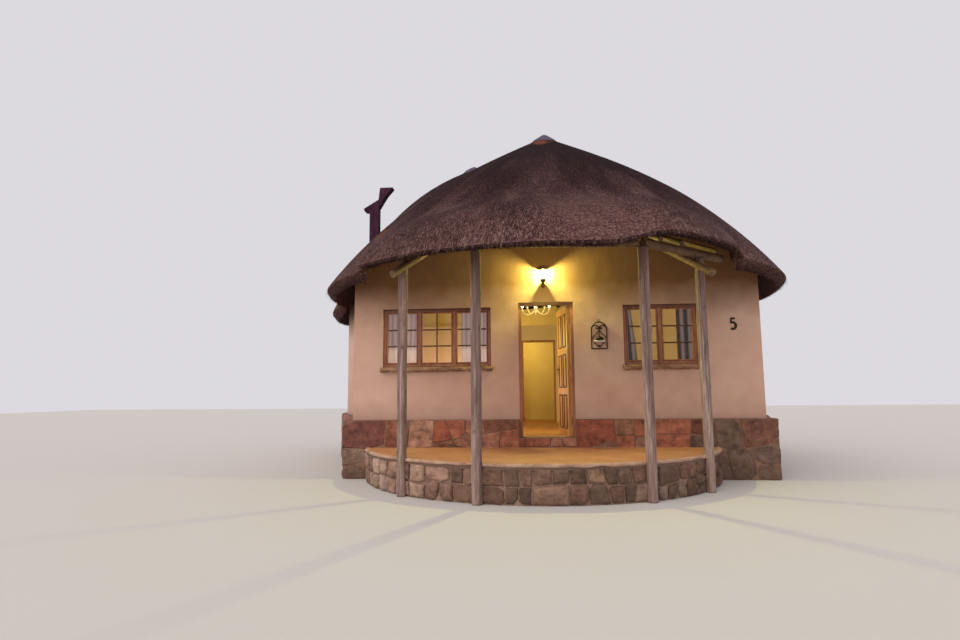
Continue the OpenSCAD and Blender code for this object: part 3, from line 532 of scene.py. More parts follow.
# The cut edge: from the upper lip to the lower lip, which is set back, bulging by 12 mm.
low_r = reach - LIP_BACK
lower_lip = polar(low_r, az)
lower_lip = np.c_[lower_lip, roof_under(*lower_lip.T) + 6 * MM]
for share in np.linspace(0.12, 1.0, EDGE_ROWS):
    p = rows[TOP_ROWS - 1] * (1 - share) + lower_lip * share
    out = (12 * MM * math.sin(math.pi * share)
           + 14 * MM * lattice(az * 60 / math.pi, np.full(N_AZ, share * 4), 5, 120))
    rows.append(p + np.c_[polar(out, az), 0 * az] * (share < 1))

# The underside, back to the point.
for share in 1 - (1 - np.linspace(0.97, 0.0, UNDER_ROWS)) ** ROW_POWER:
    r = np.maximum(low_r * share, CLOSEST)
    p = polar(r, az)
    lump = 3 * MM * lattice(az * 80 / math.pi, r * 9, 6, 160)
    rows.append(np.c_[p, roof_under(*p.T) + 4 * MM + lump])
skin = np.concatenate(rows)

# %% What the finish needs to know at each point
row_of = np.repeat(np.arange(len(rows)), N_AZ)
to_eave = np.hypot(skin[:, 0], skin[:, 1]) / np.tile(reach, len(rows))
eave_value = np.clip(to_eave, 0, 1) ** 1.6
# Painted shade under the eave: the cut edge's rows darken downwards from 0.95 to 0.6, and the
# underside is set at 0.55, darker than the eave's top.
eave_value[row_of >= TOP_ROWS] = 0.55
for k in range(EDGE_ROWS):
    eave_value[row_of == TOP_ROWS + k] = 0.95 - 0.05 * k
# Where old thatch was patched with rust-brown grass: x, y and radius.
RUST_SPOTS = ((-0.16, -0.46, 0.22), (-2.62, -2.35, 0.26), (-0.05, -0.62, 0.12))


def patches(p):
    """Rust-brown patches: 1.4 times the sum of exp(-(d / radius)^2) - 0.5, ragged by noise."""
    x, y = p[:, 0], p[:, 1]
    spots = sum(np.exp(-((x - a) ** 2 + (y - b) ** 2) / (c * c)) for a, b, c in RUST_SPOTS)
    return np.clip(spots * 1.4 - 0.5 + 0.6 * lattice(x * 9, y * 9, 8), 0, 0.7)


def strand_at(p):
    """Points on a cylinder, (2.5 cos a, 2.5 sin a, 0.22 r). Noise taken there makes streaks that
    run down the slope, as many near the point as at the eave."""
    a, r = np.arctan2(p[:, 1], p[:, 0]), np.hypot(p[:, 0], p[:, 1])
    return np.c_[2.5 * np.cos(a), 2.5 * np.sin(a), 0.22 * r]


thatch = mesh_object("thatch_skin", skin, grid_faces(len(rows), N_AZ, True), thatch_mat,
                     slot="thatch", values={"eave": eave_value, "rust": patches(skin),
                                            "strand": strand_at(skin)})
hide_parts("thatch_front", "thatch_right", "thatch_back", "thatch_left")

# %% [markdown]
# ## Straws
#
# Loose ends of straw make the roof's fur and its ragged eave. Hair could be grown on the skin, but
# plain quads export as they are and stay light. Each straw is one narrow quad that lies down the
# steepest slope, turned a little at random, with its root sunk in the skin and its tip lifted. A
# second set sticks out of the cut edge.

# %% Straw finish
# Dry grass: matt, from nearly black through grey-brown to pale buff, one tone for each straw.
straw_mat, node, shader = material("straw_blades", Roughness=0.9, Specular_IOR_Level=0.15)
tone = node("Attribute", out="Fac", attribute_name="tone")
rust = node("Attribute", out="Fac", attribute_name="rust")
colour = node("ValToRGB", tone, stops=[(0.0, "#190c0e"), (0.35, "#3a2124"), (0.65, "#674845"),
                                       (0.9, "#8f726b"), (1.0, "#a88b80")])
feed(shader, Base_Color=node("Mix", rust, colour, srgb("#80492f"), data_type="RGBA"))

# %% Straw blades
SUNK, TIP_WIDTH = 8 * MM, 0.35


def blades(name, p, along, across, length, width, tone_value, lift):
    """Quads from p + length along, as wide as width at the root and 0.35 of it at the tip. The root
    is sunk 8 mm and the tip lifted along the normal, across x along."""
    n = np.cross(across, along)
    tip = p + along * length[:, None] + n * lift[:, None]
    w = across * width[:, None] / 2
    root = p - n * SUNK
    v = np.stack([root - w, root + w, tip + w * TIP_WIDTH, tip - w * TIP_WIDTH], 1).reshape(-1, 3)
    v = np.clip(v, box_low, box_high)
    return mesh_object(name, v, np.arange(len(v)).reshape(-1, 4), straw_mat, smooth=False,
                       slot="thatch", values={"tone": np.repeat(tone_value, 4), "rust": patches(v)})


def unit(v):
    """Rows of v at length 1."""
    return v / np.linalg.norm(v, axis=1)[:, None]


def swung(a, b, turn):
    """Two square directions turned by an angle in their plane: a cos + b sin, b cos - a sin."""
    c, s = np.cos(turn)[:, None], np.sin(turn)[:, None]
    return a * c + b * s, b * c - a * s


def slope_blades(name, count, seed, az_from, az_to):
    """Straws on one sector of the roof, at the share t = u^0.47 of the way to the eave. That
    spreads them by area, a little denser near the eave, and they pale towards it by t^2.4."""
    g = np.random.default_rng(seed)
    a = g.uniform(az_from, az_to, count)
    t = g.uniform(0, 1, count) ** 0.47
    r = np.maximum(t * np.interp(a, np.r_[az, TURN], np.r_[reach, reach[0]]) - 0.03, 0.3)
    x, y = polar(r, a).T
    gx, gy = roof_slope(x, y)
    steep = np.hypot(gx, gy) + 1e-6
    down = unit(np.c_[-gx / steep, -gy / steep, -steep])
    n = unit(np.c_[-gx, -gy, np.ones(count)])
    along, across = swung(down, np.cross(n, down), g.normal(0, 0.24, count))
    length = g.uniform(50 * MM, 150 * MM, count)
    width = g.uniform(3 * MM, 7 * MM, count)
    clump = 0.5 + 0.5 * lattice(x * 2.2, y * 2.2, 12)
    tone_value = g.beta(1.6, 2.8, count) * (0.14 + 1.05 * t ** 2.4) + 0.18 * t ** 4 * clump
    return blades(name, np.c_[x, y, roof_top(x, y)[0] - SUNK], along, across, length, width,
                  np.clip(tone_value, 0, 1), g.uniform(2 * MM, 22 * MM, count))


def fringe(name, count, seed):
    """Straws that stick out of the cut edge and down, at a random share of its height."""
    g = np.random.default_rng(seed)
    i = g.integers(0, N_AZ, count)
    share = g.uniform(0.05, 1.0, count)
    a = az[i] + g.uniform(-0.5, 0.5, count) * TURN / N_AZ
    edge = rows[TOP_ROWS - 1][i] * (1 - share)[:, None] + lower_lip[i] * share[:, None]
    p = np.c_[polar(np.hypot(edge[:, 0], edge[:, 1]), a), edge[:, 2]]
    out, up_ = np.c_[polar(1.0, a), np.zeros(count)], np.array([0, 0, 1.0])
    tilt = g.uniform(-1.25, -0.25, count)[:, None]
    side = np.c_[-np.sin(a), np.cos(a), np.zeros(count)]
    along, _ = swung(out * np.cos(tilt) + up_ * np.sin(tilt), side, g.normal(0, 0.35, count))
    across = unit(np.cross(along, out * 0.3 + up_))
    # Painted shade: the edge's straws darken towards its foot, by 1.7 - 0.6 share.
    tone_value = np.clip(g.beta(1.6, 2.6, count) * (1.7 - 0.6 * share), 0, 1)
    length = 12 * MM + 50 * MM * g.beta(1.2, 3.5, count)
    return blades(name, p - out * 12 * MM, along, across, length, g.uniform(4 * MM, 9 * MM, count),
                  tone_value, g.uniform(-3 * MM, 3 * MM, count))


# %% Straws on the four sectors and at the eave
# Each sector is a quarter turn. A sector that runs past a full turn is made in two laps.
STRAWS_FRONT, STRAWS_OTHER, STRAWS_EAVE = 85000, 50000, 46000
for k, part in enumerate(("front", "right", "back", "left")):
    start = math.radians(-140 + 90 * k) % TURN
    end = start + math.pi / 2
    for lap, (a, b) in enumerate(((start, min(end, TURN)), (0.0, max(0.0, end - TURN)))):
        if b > a:
            many = (STRAWS_FRONT if part == "front" else STRAWS_OTHER) * (b - a) / (math.pi / 2)
            name = f"straws_{part}" + ("_far" if lap else "")
            slope_blades(name, int(many), 20 + k + 5 * lap, a, b)
fringe("straws_eave", STRAWS_EAVE, 51)

# %% [markdown]
# ## Stonework
#
# The plinth is split sandstone in rough courses; the porch wall is smaller fieldstone set in wide
# mortar. Single stones could be placed by hand, but a wall's face can be unrolled to a flat strip
# and split again and again by slanting lines until each piece is about a stone's size. Each piece
# is drawn in by half a joint and raised to a crisp block with a rough face, and then the strip is
# rolled back round the house.

# %% Splitting a strip into stones


def halves(poly, point, along):
    """The two parts of a convex outline either side of the line through a point. A side from a to
    b that crosses the line, with its ends da and db away, is cut at a + (b - a) da / (da - db)."""
    side = (poly - point) @ np.array([-along[1], along[0]])
    parts = ([], [])
    for k in range(len(poly)):
        a, b, da, db = poly[k], poly[(k + 1) % len(poly)], side[k], side[(k + 1) % len(poly)]
        for sign, part in ((1, parts[0]), (-1, parts[1])):
            if sign * da >= 0:
                part.append(a)
            if da * db < 0:
                part.append(a + (b - a) * da / (da - db))
    return [np.array(p) for p in parts if len(p) >= 3]


def fullness(poly):
    """Area over girth squared: small for splinters."""
    after = np.roll(poly, -1, 0)
    area = 0.5 * abs((poly[:, 0] * after[:, 1] - poly[:, 1] * after[:, 0]).sum())
    return area / np.linalg.norm(after - poly, axis=1).sum() ** 2


def without_corners(poly, g):
    """Cuts off up to two corners, 15 to 40 % along the sides that meet there."""
    for _ in range(g.integers(0, 3)):
        k = g.integers(len(poly))
        before, corner, after = poly[k - 1], poly[k], poly[(k + 1) % len(poly)]
        p = corner + (before - corner) * g.uniform(0.15, 0.4)
        q = corner + (after - corner) * g.uniform(0.15, 0.4)
        poly = np.insert(np.delete(poly, k, 0), k, [p, q], 0) if k else np.r_[[p, q], poly[1:]]
    return poly


def stones(poly, size, slant, g):
    """Splits an outline: long runs upright first, then into courses, then into stones. Of five
    random cuts the one that leaves the fullest parts is taken; a run over 1.5 m takes the first."""
    w, h = np.ptp(poly, axis=0)
    upright = w > 3.6 * size[0] or (h < size[1] * g.uniform(1.15, 1.5)
                                    and w > size[0] * g.uniform(1.1, 1.8))
    if not upright and h < 1.3 * size[1]:
        return [without_corners(poly, g)]
    cuts = []
    for _ in range(5):
        lean = g.normal(0, slant) + (math.pi / 2 if upright else 0)
        point = poly.min(0) + [w * g.uniform(0.35, 0.65), h * g.uniform(0.38, 0.62)]
        parts = halves(poly, point, (math.cos(lean), math.sin(lean)))
        cuts.append((min(fullness(p) for p in parts), len(cuts), parts))
    best = max(cuts[:1] if w > 1.5 else cuts)[2]
    return [stone for part in best for stone in stones(part, size, slant, g)]


def drawn_in(poly, inset):
    """A convex outline with each side moved inward: corner + inset (n1 + n2) / (1 + n1 . n2), and
    no corner moved more than 45 % of the way to the middle."""
    edge = np.roll(poly, -1, 0) - poly
    n = np.c_[-edge[:, 1], edge[:, 0]] / np.maximum(np.linalg.norm(edge, axis=1), 1e-9)[:, None]
    before = np.roll(n, 1, 0)
    move = inset * (n + before) / np.maximum(1 + (n * before).sum(1), 0.35)[:, None]
    most = 0.45 * np.linalg.norm(poly - poly.mean(0), axis=1)
    size = np.linalg.norm(move, axis=1)
    return poly + move * np.minimum(1, most / np.maximum(size, 1e-9))[:, None]


# %% One stone
PER_SIDE, SHORTEST, BACK = 7, 12 * MM, -12 * MM


def stone_rings(rise):
    """The stone's section: (inset, height as a share of rise, or a depth below 0) of each ring."""
    return ((0.0, BACK), (0.0, 0.35), (0.25 * rise, 0.75), (0.8 * rise, 0.96),
            (0.045 + 0.5 * rise, 1.0))


def block(poly, joint, rise, rough, g):
    """A stone over a cell: rings (s, z, height) from behind the face, over a worn arris, to the
    middle. Its outline and its face are broken by smooth noise; its face leans a little."""
    short = np.linalg.norm(np.roll(poly, -1, 0) - poly, axis=1) > SHORTEST
    poly = poly[short] if short.sum() >= 3 else poly
    mid = poly.mean(0)
    tilt = g.normal(0, 0.035, 2)
    seed = int(g.integers(1, 9999))
    share = (np.arange(PER_SIDE) / PER_SIDE)[None, :, None]
    rings = []
    for inset, height in stone_rings(rise):
        p = drawn_in(poly, joint / 2 + inset)
        q = (p[:, None] + (np.roll(p, -1, 0) - p)[:, None] * share).reshape(-1, 2)
        wave = lattice(q[:, 0] * 23, q[:, 1] * 23, seed) * rough * 0.9
        q = q + (mid - q) / np.linalg.norm(mid - q, axis=1)[:, None] * wave[:, None]
        rings.append(np.c_[q, np.full(len(q), height if height < 0 else rise * height)])
    for k in (0.6, 0.25):
        q = mid + (rings[4][:, :2] - mid) * k
        rings.append(np.c_[q, np.full(len(q), rise)])
    v = np.concatenate(rings + [[(*mid, rise)]])
    face = v[:, 2] > 0
    s, z = v[face, 0], v[face, 1]
    v[face, 2] += (v[face, :2] - mid) @ tilt + rough * (0.6 * lattice(s * 11, z * 11, seed + 1)
                                                       + 0.3 * lattice(s * 31, z * 31, seed + 2))
    count, last = len(rings[0]), (len(rings) - 1) * len(rings[0])
    fan = [[last + i, last + (i + 1) % count, last + count] for i in range(count)]
    return v, grid_faces(len(rings), count, True).tolist() + fan


# %% A wall of stones
def stone_wall(name, path, height, base, size, pick, joint, rise, rough, mat, slot, seed,
               slant=0.12):
    """Stones over a path in plan: a stone's (s, z, h) goes to path(s) + h normal(s), base + z. path
    is (points, outward normals), size a stone's usual width and height, and pick(g, x, z) gives a
    stone's colour, which varies by 15 % in brightness."""
    g = np.random.default_rng(seed)
    pts, nrm = path
    run = np.r_[0, np.cumsum(np.linalg.norm(np.diff(pts, axis=0), axis=1))]
    strip = np.array([(0, 0), (run[-1], 0), (run[-1], height), (0, height)], float)
    parts, colours = [], []
    for poly in stones(strip, size, slant, g):
        v, f = block(poly, joint, rise * g.uniform(0.8, 1.2), rough, g)
        s = np.clip(v[:, 0], 0, run[-1])
        x, y, nx, ny = (np.interp(s, run, one) for one in (*pts.T, *nrm.T))
        parts.append((np.c_[x + nx * v[:, 2], y + ny * v[:, 2], base + v[:, 1]], f))
        own = np.array(srgb(pick(g, x.mean(), base + v[:, 1].mean()))[:3]) * g.uniform(0.85, 1.15)
        colours.append(np.tile(own, (len(v), 1)))
    print(f"{name}: {len(parts)} stones")
    mesh_object(name, *joined(parts), mat, smooth=False, slot=slot,
                values={"stone": np.concatenate(colours)})


# %% [markdown]
# ## Stone and mortar finishes
#
# The stones are split sandstone and fieldstone: matt, gritty and stained, and darker towards the
# ground. Each stone has its own colour, and clouds, specks and stains break it up. The mortar is
# sand and lime, struck off by trowel: two close sandy tones with small pits. Where a plinth stands
# inside a room, its wall is painted cream like the rooms.

# %% Stone finish


def stone_material(name, grit, low_dark):
    """A stone's own colour x clouds x specks, with stains mixed in, and darker towards the ground
    by up to the given share of a dark brown, from 450 mm down to 100 mm above the ground."""
    m, node, shader = material(name, Roughness=0.88)
    at = place(node)
    own = node("Attribute", out="Color", attribute_name="stone")
    # Clouds of 130 mm and stains of 60 mm fit a stone of 250 to 400 mm. Sand grit is under 1 mm, so
    # it is drawn at 9 to 12 mm to show.
    cloud = node("TexNoise", Vector=at, Scale=1 / (130 * MM), Detail=6, Roughness=0.65)
    cloud = node("ValToRGB", cloud, stops=[(0.28, "#877e7c"), (0.5, "#d2cbc8"), (0.75, "#ffffff")])
    speck = node("TexNoise", Vector=at, Scale=1 / grit, Detail=3, Roughness=0.7)
    speck = node("ValToRGB", speck, stops=[(0.35, "#948b86"), (0.6, "#ffffff")])
    stain = node("TexNoise", Vector=at, Scale=1 / (60 * MM), Detail=3, Roughness=0.6)
    stain = node("ValToRGB", stain, stops=[(0.60, "#000000"), (0.74, "#ffffff")])
    stain = node("Math", stain, 0.35, operation="MULTIPLY")
    foot = node("TexNoise", Vector=at, Scale=1 / (200 * MM), Detail=4, Roughness=0.55)
    foot = node("Math", foot, 0.25, node("SeparateXYZ", at, out=2), operation="MULTIPLY_ADD")
    foot = node("MapRange", foot, 0.10, 0.45, low_dark, 0.0)
    colour = node("Mix", 1.0, own, cloud, data_type="RGBA", blend_type="MULTIPLY")
    colour = node("Mix", 0.55, colour, speck, data_type="RGBA", blend_type="MULTIPLY")
    colour = node("Mix", stain, colour, srgb("#3f2f29"), data_type="RGBA")
    colour = node("Mix", foot, colour, srgb("#4c382c"), data_type="RGBA")
    hollows = node("TexNoise", Vector=at, Scale=1 / (90 * MM), Detail=6, Roughness=0.6)
    grain = node("TexNoise", Vector=at, Scale=1 / (14 * MM), Detail=4, Roughness=0.7)
    low = node("Bump", Height=hollows, Distance=40 * MM, Strength=0.75)
    high = node("Bump", Height=grain, Distance=6 * MM, Strength=0.8, Normal=low)
    feed(shader, Base_Color=colour, Normal=high)
    return m


# %% Mortar finish and the paint of the rooms
# The rooms' air space in plan: a circle inside each round wall, behind the front wall's middle.
ROOM_R, REAR_ROOM_R, ROOM_FRONT = 3.43, 2.6, -1.8


def inside_house(node, at):
    """1 where the distance in plan to either round room's axis is under its radius and y is past
    the front wall's middle, else 0."""
    flat = node("VectorMath", at, (1, 1, 0), operation="MULTIPLY")
    from_rear = node("VectorMath", flat, (*REAR, 0), operation="SUBTRACT")
    near = [node("Math", node("VectorMath", p, operation="LENGTH"), r, operation="LESS_THAN")
            for p, r in ((flat, ROOM_R), (from_rear, REAR_ROOM_R))]
    behind = node("Math", node("SeparateXYZ", at, out=1), ROOM_FRONT, operation="GREATER_THAN")
    return node("Math", node("Math", *near, operation="MAXIMUM"), behind, operation="MULTIPLY")


def room_colour(node, at):
    """Cream wall paint, rolled on by hand: two close tones in clouds of 900 mm."""
    cloud = node("TexNoise", Vector=at, Scale=1 / (900 * MM), Detail=6, Roughness=0.6)
    return node("ValToRGB", cloud, stops=[(0.3, "#d2c09c"), (0.7, "#dfd0b2")])


def mortar_material(name, deep, pale, lined=False):
    """Two tones in clouds of 200 mm, with trowel hollows of 40 mm and pits of 6 mm. A lined wall is
    painted on the side of the rooms."""
    m, node, shader = material(name, Roughness=0.93)
    at = place(node)
    cloud = node("TexNoise", Vector=at, Scale=1 / (200 * MM), Detail=6, Roughness=0.6)
    colour = node("ValToRGB", cloud, stops=[(0.3, deep), (0.7, pale)])
    if lined:
        colour = node("Mix", inside_house(node, at), colour, room_colour(node, at),
                      data_type="RGBA")
    hollows = node("TexNoise", Vector=at, Scale=1 / (40 * MM), Detail=5, Roughness=0.6)
    pits = node("TexNoise", Vector=at, Scale=1 / (6 * MM), Detail=3, Roughness=0.7)
    low = node("Bump", Height=hollows, Distance=14 * MM, Strength=0.8)
    high = node("Bump", Height=pits, Distance=2 * MM, Strength=0.8, Normal=low)
    feed(shader, Base_Color=colour, Normal=high)
    return m


plinth_mat = stone_material("plinth_sandstone", 12 * MM, 0.6)
porch_stone_mat = stone_material("porch_rubble", 9 * MM, 0.35)
plinth_mortar = mortar_material("plinth_mortar", "#6b4a3b", "#93705d", lined=True)
porch_mortar = mortar_material("porch_mortar", "#785b4b", "#a18371")
edge_mat = mortar_material("edge_mortar", "#8a6956", "#cca78e")

# %% Each stone's colour


def one_of(g, codes):
    """One of some hex codes by chance."""
    codes = codes.split()
    return codes[g.integers(len(codes))]


def plinth_colour(g, x, z):
    """Red and pink sandstone, with darker blocks at the right end and paler ones at the left."""
    if x > 2.2 and z < 0.42 and g.uniform() < 0.7:
        return one_of(g, "#997a69 #a07c68 #8d7263")
    if x > 2.0:
        return one_of(g, "#9a6450 #80695a #8e7360 #985f4b #8a6a58 #a06e59")
    if x < -2.6:
        return one_of(g, "#a3675a #c09683 #bd7f6c #a98d77 #977865")
    return one_of(g, "#cf8465 #cf9376 #bc7a62 #d3a48b #c28c70 #a8735a #ba6d53")


def porch_colour(g, x, z):
    """Beige and brown fieldstone, paler at the left end."""
    if x < -1.3:
        return one_of(g, "#d6ac97 #e2c2b0 #c29882 #dab79f #a98470 #e0c8ba")
    return one_of(g, "#84644f #9a7862 #745a48 #a98770 #8a6f5b #b49684 #936f5c")


# %% [markdown]
# ## Plinth
#
# The plinth is a band of stone 885 mm high. Its face follows the flat front, turns the front
# corners, and runs round both rooms to where their circles meet. Tracing that outline point by
# point would drift, so it is put together from straight lines and arcs, and the meeting angles
# come from the two radii and the distance between the axes.

# %% Paths in plan


def arc(cx, cy, r, a0, a1, step=50 * MM):
    """Points (cx + r cos a, cy + r sin a) from a0 to a1, with their outward normals."""
    a = np.linspace(a0, a1, max(3, int(abs(a1 - a0) * r / step)))
    n = polar(1.0, a)
    return np.array([cx, cy]) + r * n, n


def line(x0, y0, x1, y1, nx, ny):
    """A straight piece of path from (x0, y0) to (x1, y1), with one outward normal."""
    return np.array([[x0, y0], [x1, y1]]), np.array([[nx, ny]] * 2, float)


def chain(*pieces):
    """Joins arcs and lines end to end."""
    return tuple(np.concatenate(one) for one in zip(*pieces))


# %% Plinth stones
PLINTH_R, REAR_PLINTH_R, FRONT = 3.67, 2.85, -2.1
PLINTH_TOP, STEP_TOP, STEP_FOOT = 0.885, 0.61, 0.47
CORNER_X, SIDE_Y = 3.24666, -1.73
STEP_LEFT, STEP_RIGHT = -0.519, 0.331
# The front's end stones reach past the corner, and the sides' arc starts behind it.
CORNER_PAST, SIDE_BACK = 18 * MM, 30 * MM

corner = math.asin(-SIDE_Y / PLINTH_R)
apart, lobe = math.hypot(*REAR), math.atan2(REAR[1], REAR[0])
# Law of cosines in the triangle of both axes and a point where the two plinths meet.
half = math.acos((PLINTH_R ** 2 + apart ** 2 - REAR_PLINTH_R ** 2) / (2 * PLINTH_R * apart))
rear_half = math.pi - math.acos((REAR_PLINTH_R ** 2 + apart ** 2 - PLINTH_R ** 2)
                                / (2 * REAR_PLINTH_R * apart))
side_end = SIDE_Y - SIDE_BACK
plinth_paths = {
    "front_right": line(STEP_RIGHT, FRONT, CORNER_X + CORNER_PAST, FRONT, 0, -1),
    "right": chain(line(CORNER_X, FRONT, CORNER_X, side_end, 1, 0),
                   arc(0, 0, PLINTH_R, -corner, lobe - half)),
    "rear": arc(*REAR, REAR_PLINTH_R, lobe - rear_half, lobe + rear_half),
    "left": chain(arc(0, 0, PLINTH_R, lobe + half, math.pi + corner),
                  line(-CORNER_X, side_end, -CORNER_X, FRONT, -1, 0)),
    "front_left": line(-CORNER_X - CORNER_PAST, FRONT, STEP_LEFT, FRONT, 0, -1),
    "step": line(STEP_LEFT, FRONT, STEP_RIGHT, FRONT, 0, -1),
}
for k, (name, path) in enumerate(plinth_paths.items()):
    foot, top, size = 0.0, PLINTH_TOP, (0.40, 0.36)
    if name == "step":
        foot, top, size = STEP_FOOT, STEP_TOP, (0.30, 0.14)
    stone_wall(f"stones_{name}", path, top - foot - 6 * MM, foot + 4 * MM, size, plinth_colour,
               joint=12 * MM, rise=12 * MM, rough=6 * MM, mat=plinth_mat, slot="plinth_stone",
               seed=61 + k)
paint(plinth_mortar, "plinth_front_left", "plinth_front_right", "plinth_right", "plinth_left",
      "plinth_rear", "door_step")

# %% [markdown]
# ## Porch wall and floor
#
# The porch is a low round wall of fieldstone with a floor of smooth screed, which was trowelled in
# one go, stained red-brown and walked on until it shines a little. Round its edge runs a rough band
# of mortar that hides the slab. A bevel would make that edge too even, so the band has its own
# section, carried round the porch and broken by noise.

# %% Porch wall
PORCH_R, PORCH_TOP, PORCH_STONE_PAST = 2.675, 0.40, 22 * MM
porch_half = math.acos((PORCH[1] - FRONT) / PORCH_R)


def porch_ends(short):
    """First and last angle of the porch's wall round its axis, each drawn in by an angle."""
    return -math.pi / 2 - porch_half + short, -math.pi / 2 + porch_half - short


stone_wall("stones_porch", arc(*PORCH, PORCH_R, *porch_ends(0.01)), PORCH_TOP + PORCH_STONE_PAST,
           4 * MM, (0.25, 0.20), porch_colour, joint=20 * MM, rise=33 * MM, rough=10 * MM,
           mat=porch_stone_mat, slot="porch_stone", seed=68, slant=0.14)
paint(porch_mortar, "porch_wall")

# %% Screed
# Cloudy red-brown with fine pale sand in it, half matt, with faint trowel waves of 300 mm. The sand
# is drawn at 20 mm. The slab's side, below the edge band, has the mortar's colour.
SCREED_FOOT = 0.465
screed_mat, node, shader = material("porch_screed", Roughness=0.55)
at = place(node)
cloud = node("TexNoise", Vector=at, Scale=1 / (450 * MM), Detail=6, Roughness=0.62)
colour = node("ValToRGB", cloud, stops=[(0.3, "#aa6f4c"), (0.5, "#b98057"), (0.72, "#c59067")])
below_top = node("Math", node("SeparateXYZ", at, out=2), SCREED_FOOT, operation="LESS_THAN")
colour = node("Mix", below_top, colour, srgb("#6d5243"), data_type="RGBA")
speck = node("TexNoise", Vector=at, Scale=1 / (20 * MM), Detail=4, Roughness=0.7)
speck = node("ValToRGB", speck, stops=[(0.32, "#b9aaa2"), (0.55, "#ffffff")])
colour = node("Mix", 0.6, colour, speck, data_type="RGBA", blend_type="MULTIPLY")
waves = node("TexNoise", Vector=at, Scale=1 / (300 * MM), Detail=4, Roughness=0.6)
grain = node("TexNoise", Vector=at, Scale=1 / (10 * MM), Detail=3, Roughness=0.6)
low = node("Bump", Height=waves, Distance=6 * MM, Strength=0.5)
high = node("Bump", Height=grain, Distance=0.8 * MM, Strength=0.5, Normal=low)
feed(shader, Base_Color=colour, Normal=high)
paint(screed_mat, "porch_floor", "floor_slab")

# %% Mortar edge of the porch
# Its section as (radius, height), from the floor over the nose and back under.
EDGE_SECTION = ((2.64, 0.468), (2.672, 0.4735), (2.700, 0.4735), (2.716, 0.468), (2.721, 0.458),
                (2.719, 0.448), (2.712, 0.440), (2.702, 0.435), (2.670, 0.432))
EDGE_STEPS, FREE_FROM = 360, 5
a = np.linspace(*porch_ends(0.004), EDGE_STEPS)
same = np.ones(EDGE_STEPS)
edge_rows = []
for k, (r, z) in enumerate(EDGE_SECTION):
    lump = (7 * MM * lattice(a * 22, same * k * 0.9, 90)
            + 6 * MM * lattice(a * 70, same * k * 1.3, 91))
    drip = 8 * MM * lattice(a * 16, same * 3.0, 92) * (k > FREE_FROM)
    inner = k in (0, len(EDGE_SECTION) - 1)
    edge_rows.append(polar(r + lump * (not inner), a, z + drip + 0.3 * lump * (k > 0), PORCH))
n_rows = len(EDGE_SECTION)
ends = [[k * EDGE_STEPS for k in range(n_rows)],
        [(k + 1) * EDGE_STEPS - 1 for k in range(n_rows)][::-1]]
edge_faces = grid_faces(n_rows, EDGE_STEPS)[:, ::-1].tolist() + ends
mesh_object("porch_edge", np.concatenate(edge_rows), edge_faces, edge_mat, slot="mortar")

# %% [markdown]
# ## Plaster
#
# The walls are lime plaster, put on by trowel and limewashed: dead matt, warm beige, in soft clouds
# nearly a metre wide. It is darker along the plinth where damp rises. Under the eave it turns a
# yellow brown: painted shade of the eave, tinted by the lamp's yellow light. Painting that by hand
# would tie it to one mesh, so height and noise decide where the damp and the painted shade begin,
# on every wall at once.

# %% Plaster finish
PLASTER_NODES = ("front_wall_left", "front_wall_right", "front_wall_head", "wall_right",
                 "wall_back", "wall_left", "rear_wall_right", "rear_wall_left",
                 "inner_wall_left", "inner_wall_right", "inner_wall_head")
DAMP_FROM, DAMP_TO = 1.05, 1.4
# Heights where the painted eave shade starts and is full, and its strongest share.
EAVE_SHADE_FROM, EAVE_SHADE_TO, EAVE_SHADE_MOST = 2.6, 3.25, 0.88

plaster_mat, node, shader = material("lime_plaster", Roughness=0.92)
at = place(node)
height = node("SeparateXYZ", at, out=2)
cloud = node("TexNoise", Vector=at, Scale=1 / (900 * MM), Detail=6, Roughness=0.6)
colour = node("ValToRGB", cloud, stops=[(0.3, "#bd9583"), (0.5, "#c8a18e"), (0.72, "#d0ad9b")])
ragged = node("TexNoise", Vector=at, Scale=1 / (220 * MM), Detail=5, Roughness=0.55)
low_dark = node("Math", ragged, 0.35, height, operation="MULTIPLY_ADD")
low_dark = node("MapRange", low_dark, DAMP_FROM, DAMP_TO, 1.0, 0.0)
low_dark = node("Math", low_dark, 0.4, operation="MULTIPLY")
colour = node("Mix", low_dark, colour, srgb("#a17f72"), data_type="RGBA")
# Painted shade: from 2.6 m up the plaster turns yellow brown, for the eave's shade and the lamp's
# yellow light on it.
ragged = node("TexNoise", Vector=at, Scale=1 / (500 * MM), Detail=5, Roughness=0.55)
eave_shade = node("Math", ragged, 0.5, height, operation="MULTIPLY_ADD")
eave_shade = node("MapRange", eave_shade, EAVE_SHADE_FROM, EAVE_SHADE_TO, 0.0, EAVE_SHADE_MOST)
colour = node("Mix", eave_shade, colour, srgb("#6e481c"), data_type="RGBA")
colour = node("Mix", inside_house(node, at), colour, room_colour(node, at), data_type="RGBA")

# Trowel waves are about 250 mm long. The plaster's sand is 1 mm, drawn at 12 mm to show.
waves = node("TexNoise", Vector=at, Scale=1 / (250 * MM), Detail=4, Roughness=0.5)
grain = node("TexNoise", Vector=at, Scale=1 / (12 * MM), Detail=4, Roughness=0.7)
low = node("Bump", Height=waves, Distance=12 * MM, Strength=0.6)
high = node("Bump", Height=grain, Distance=1.6 * MM, Strength=0.7, Normal=low)
feed(shader, Base_Color=colour, Normal=high)
paint(plaster_mat, *PLASTER_NODES)

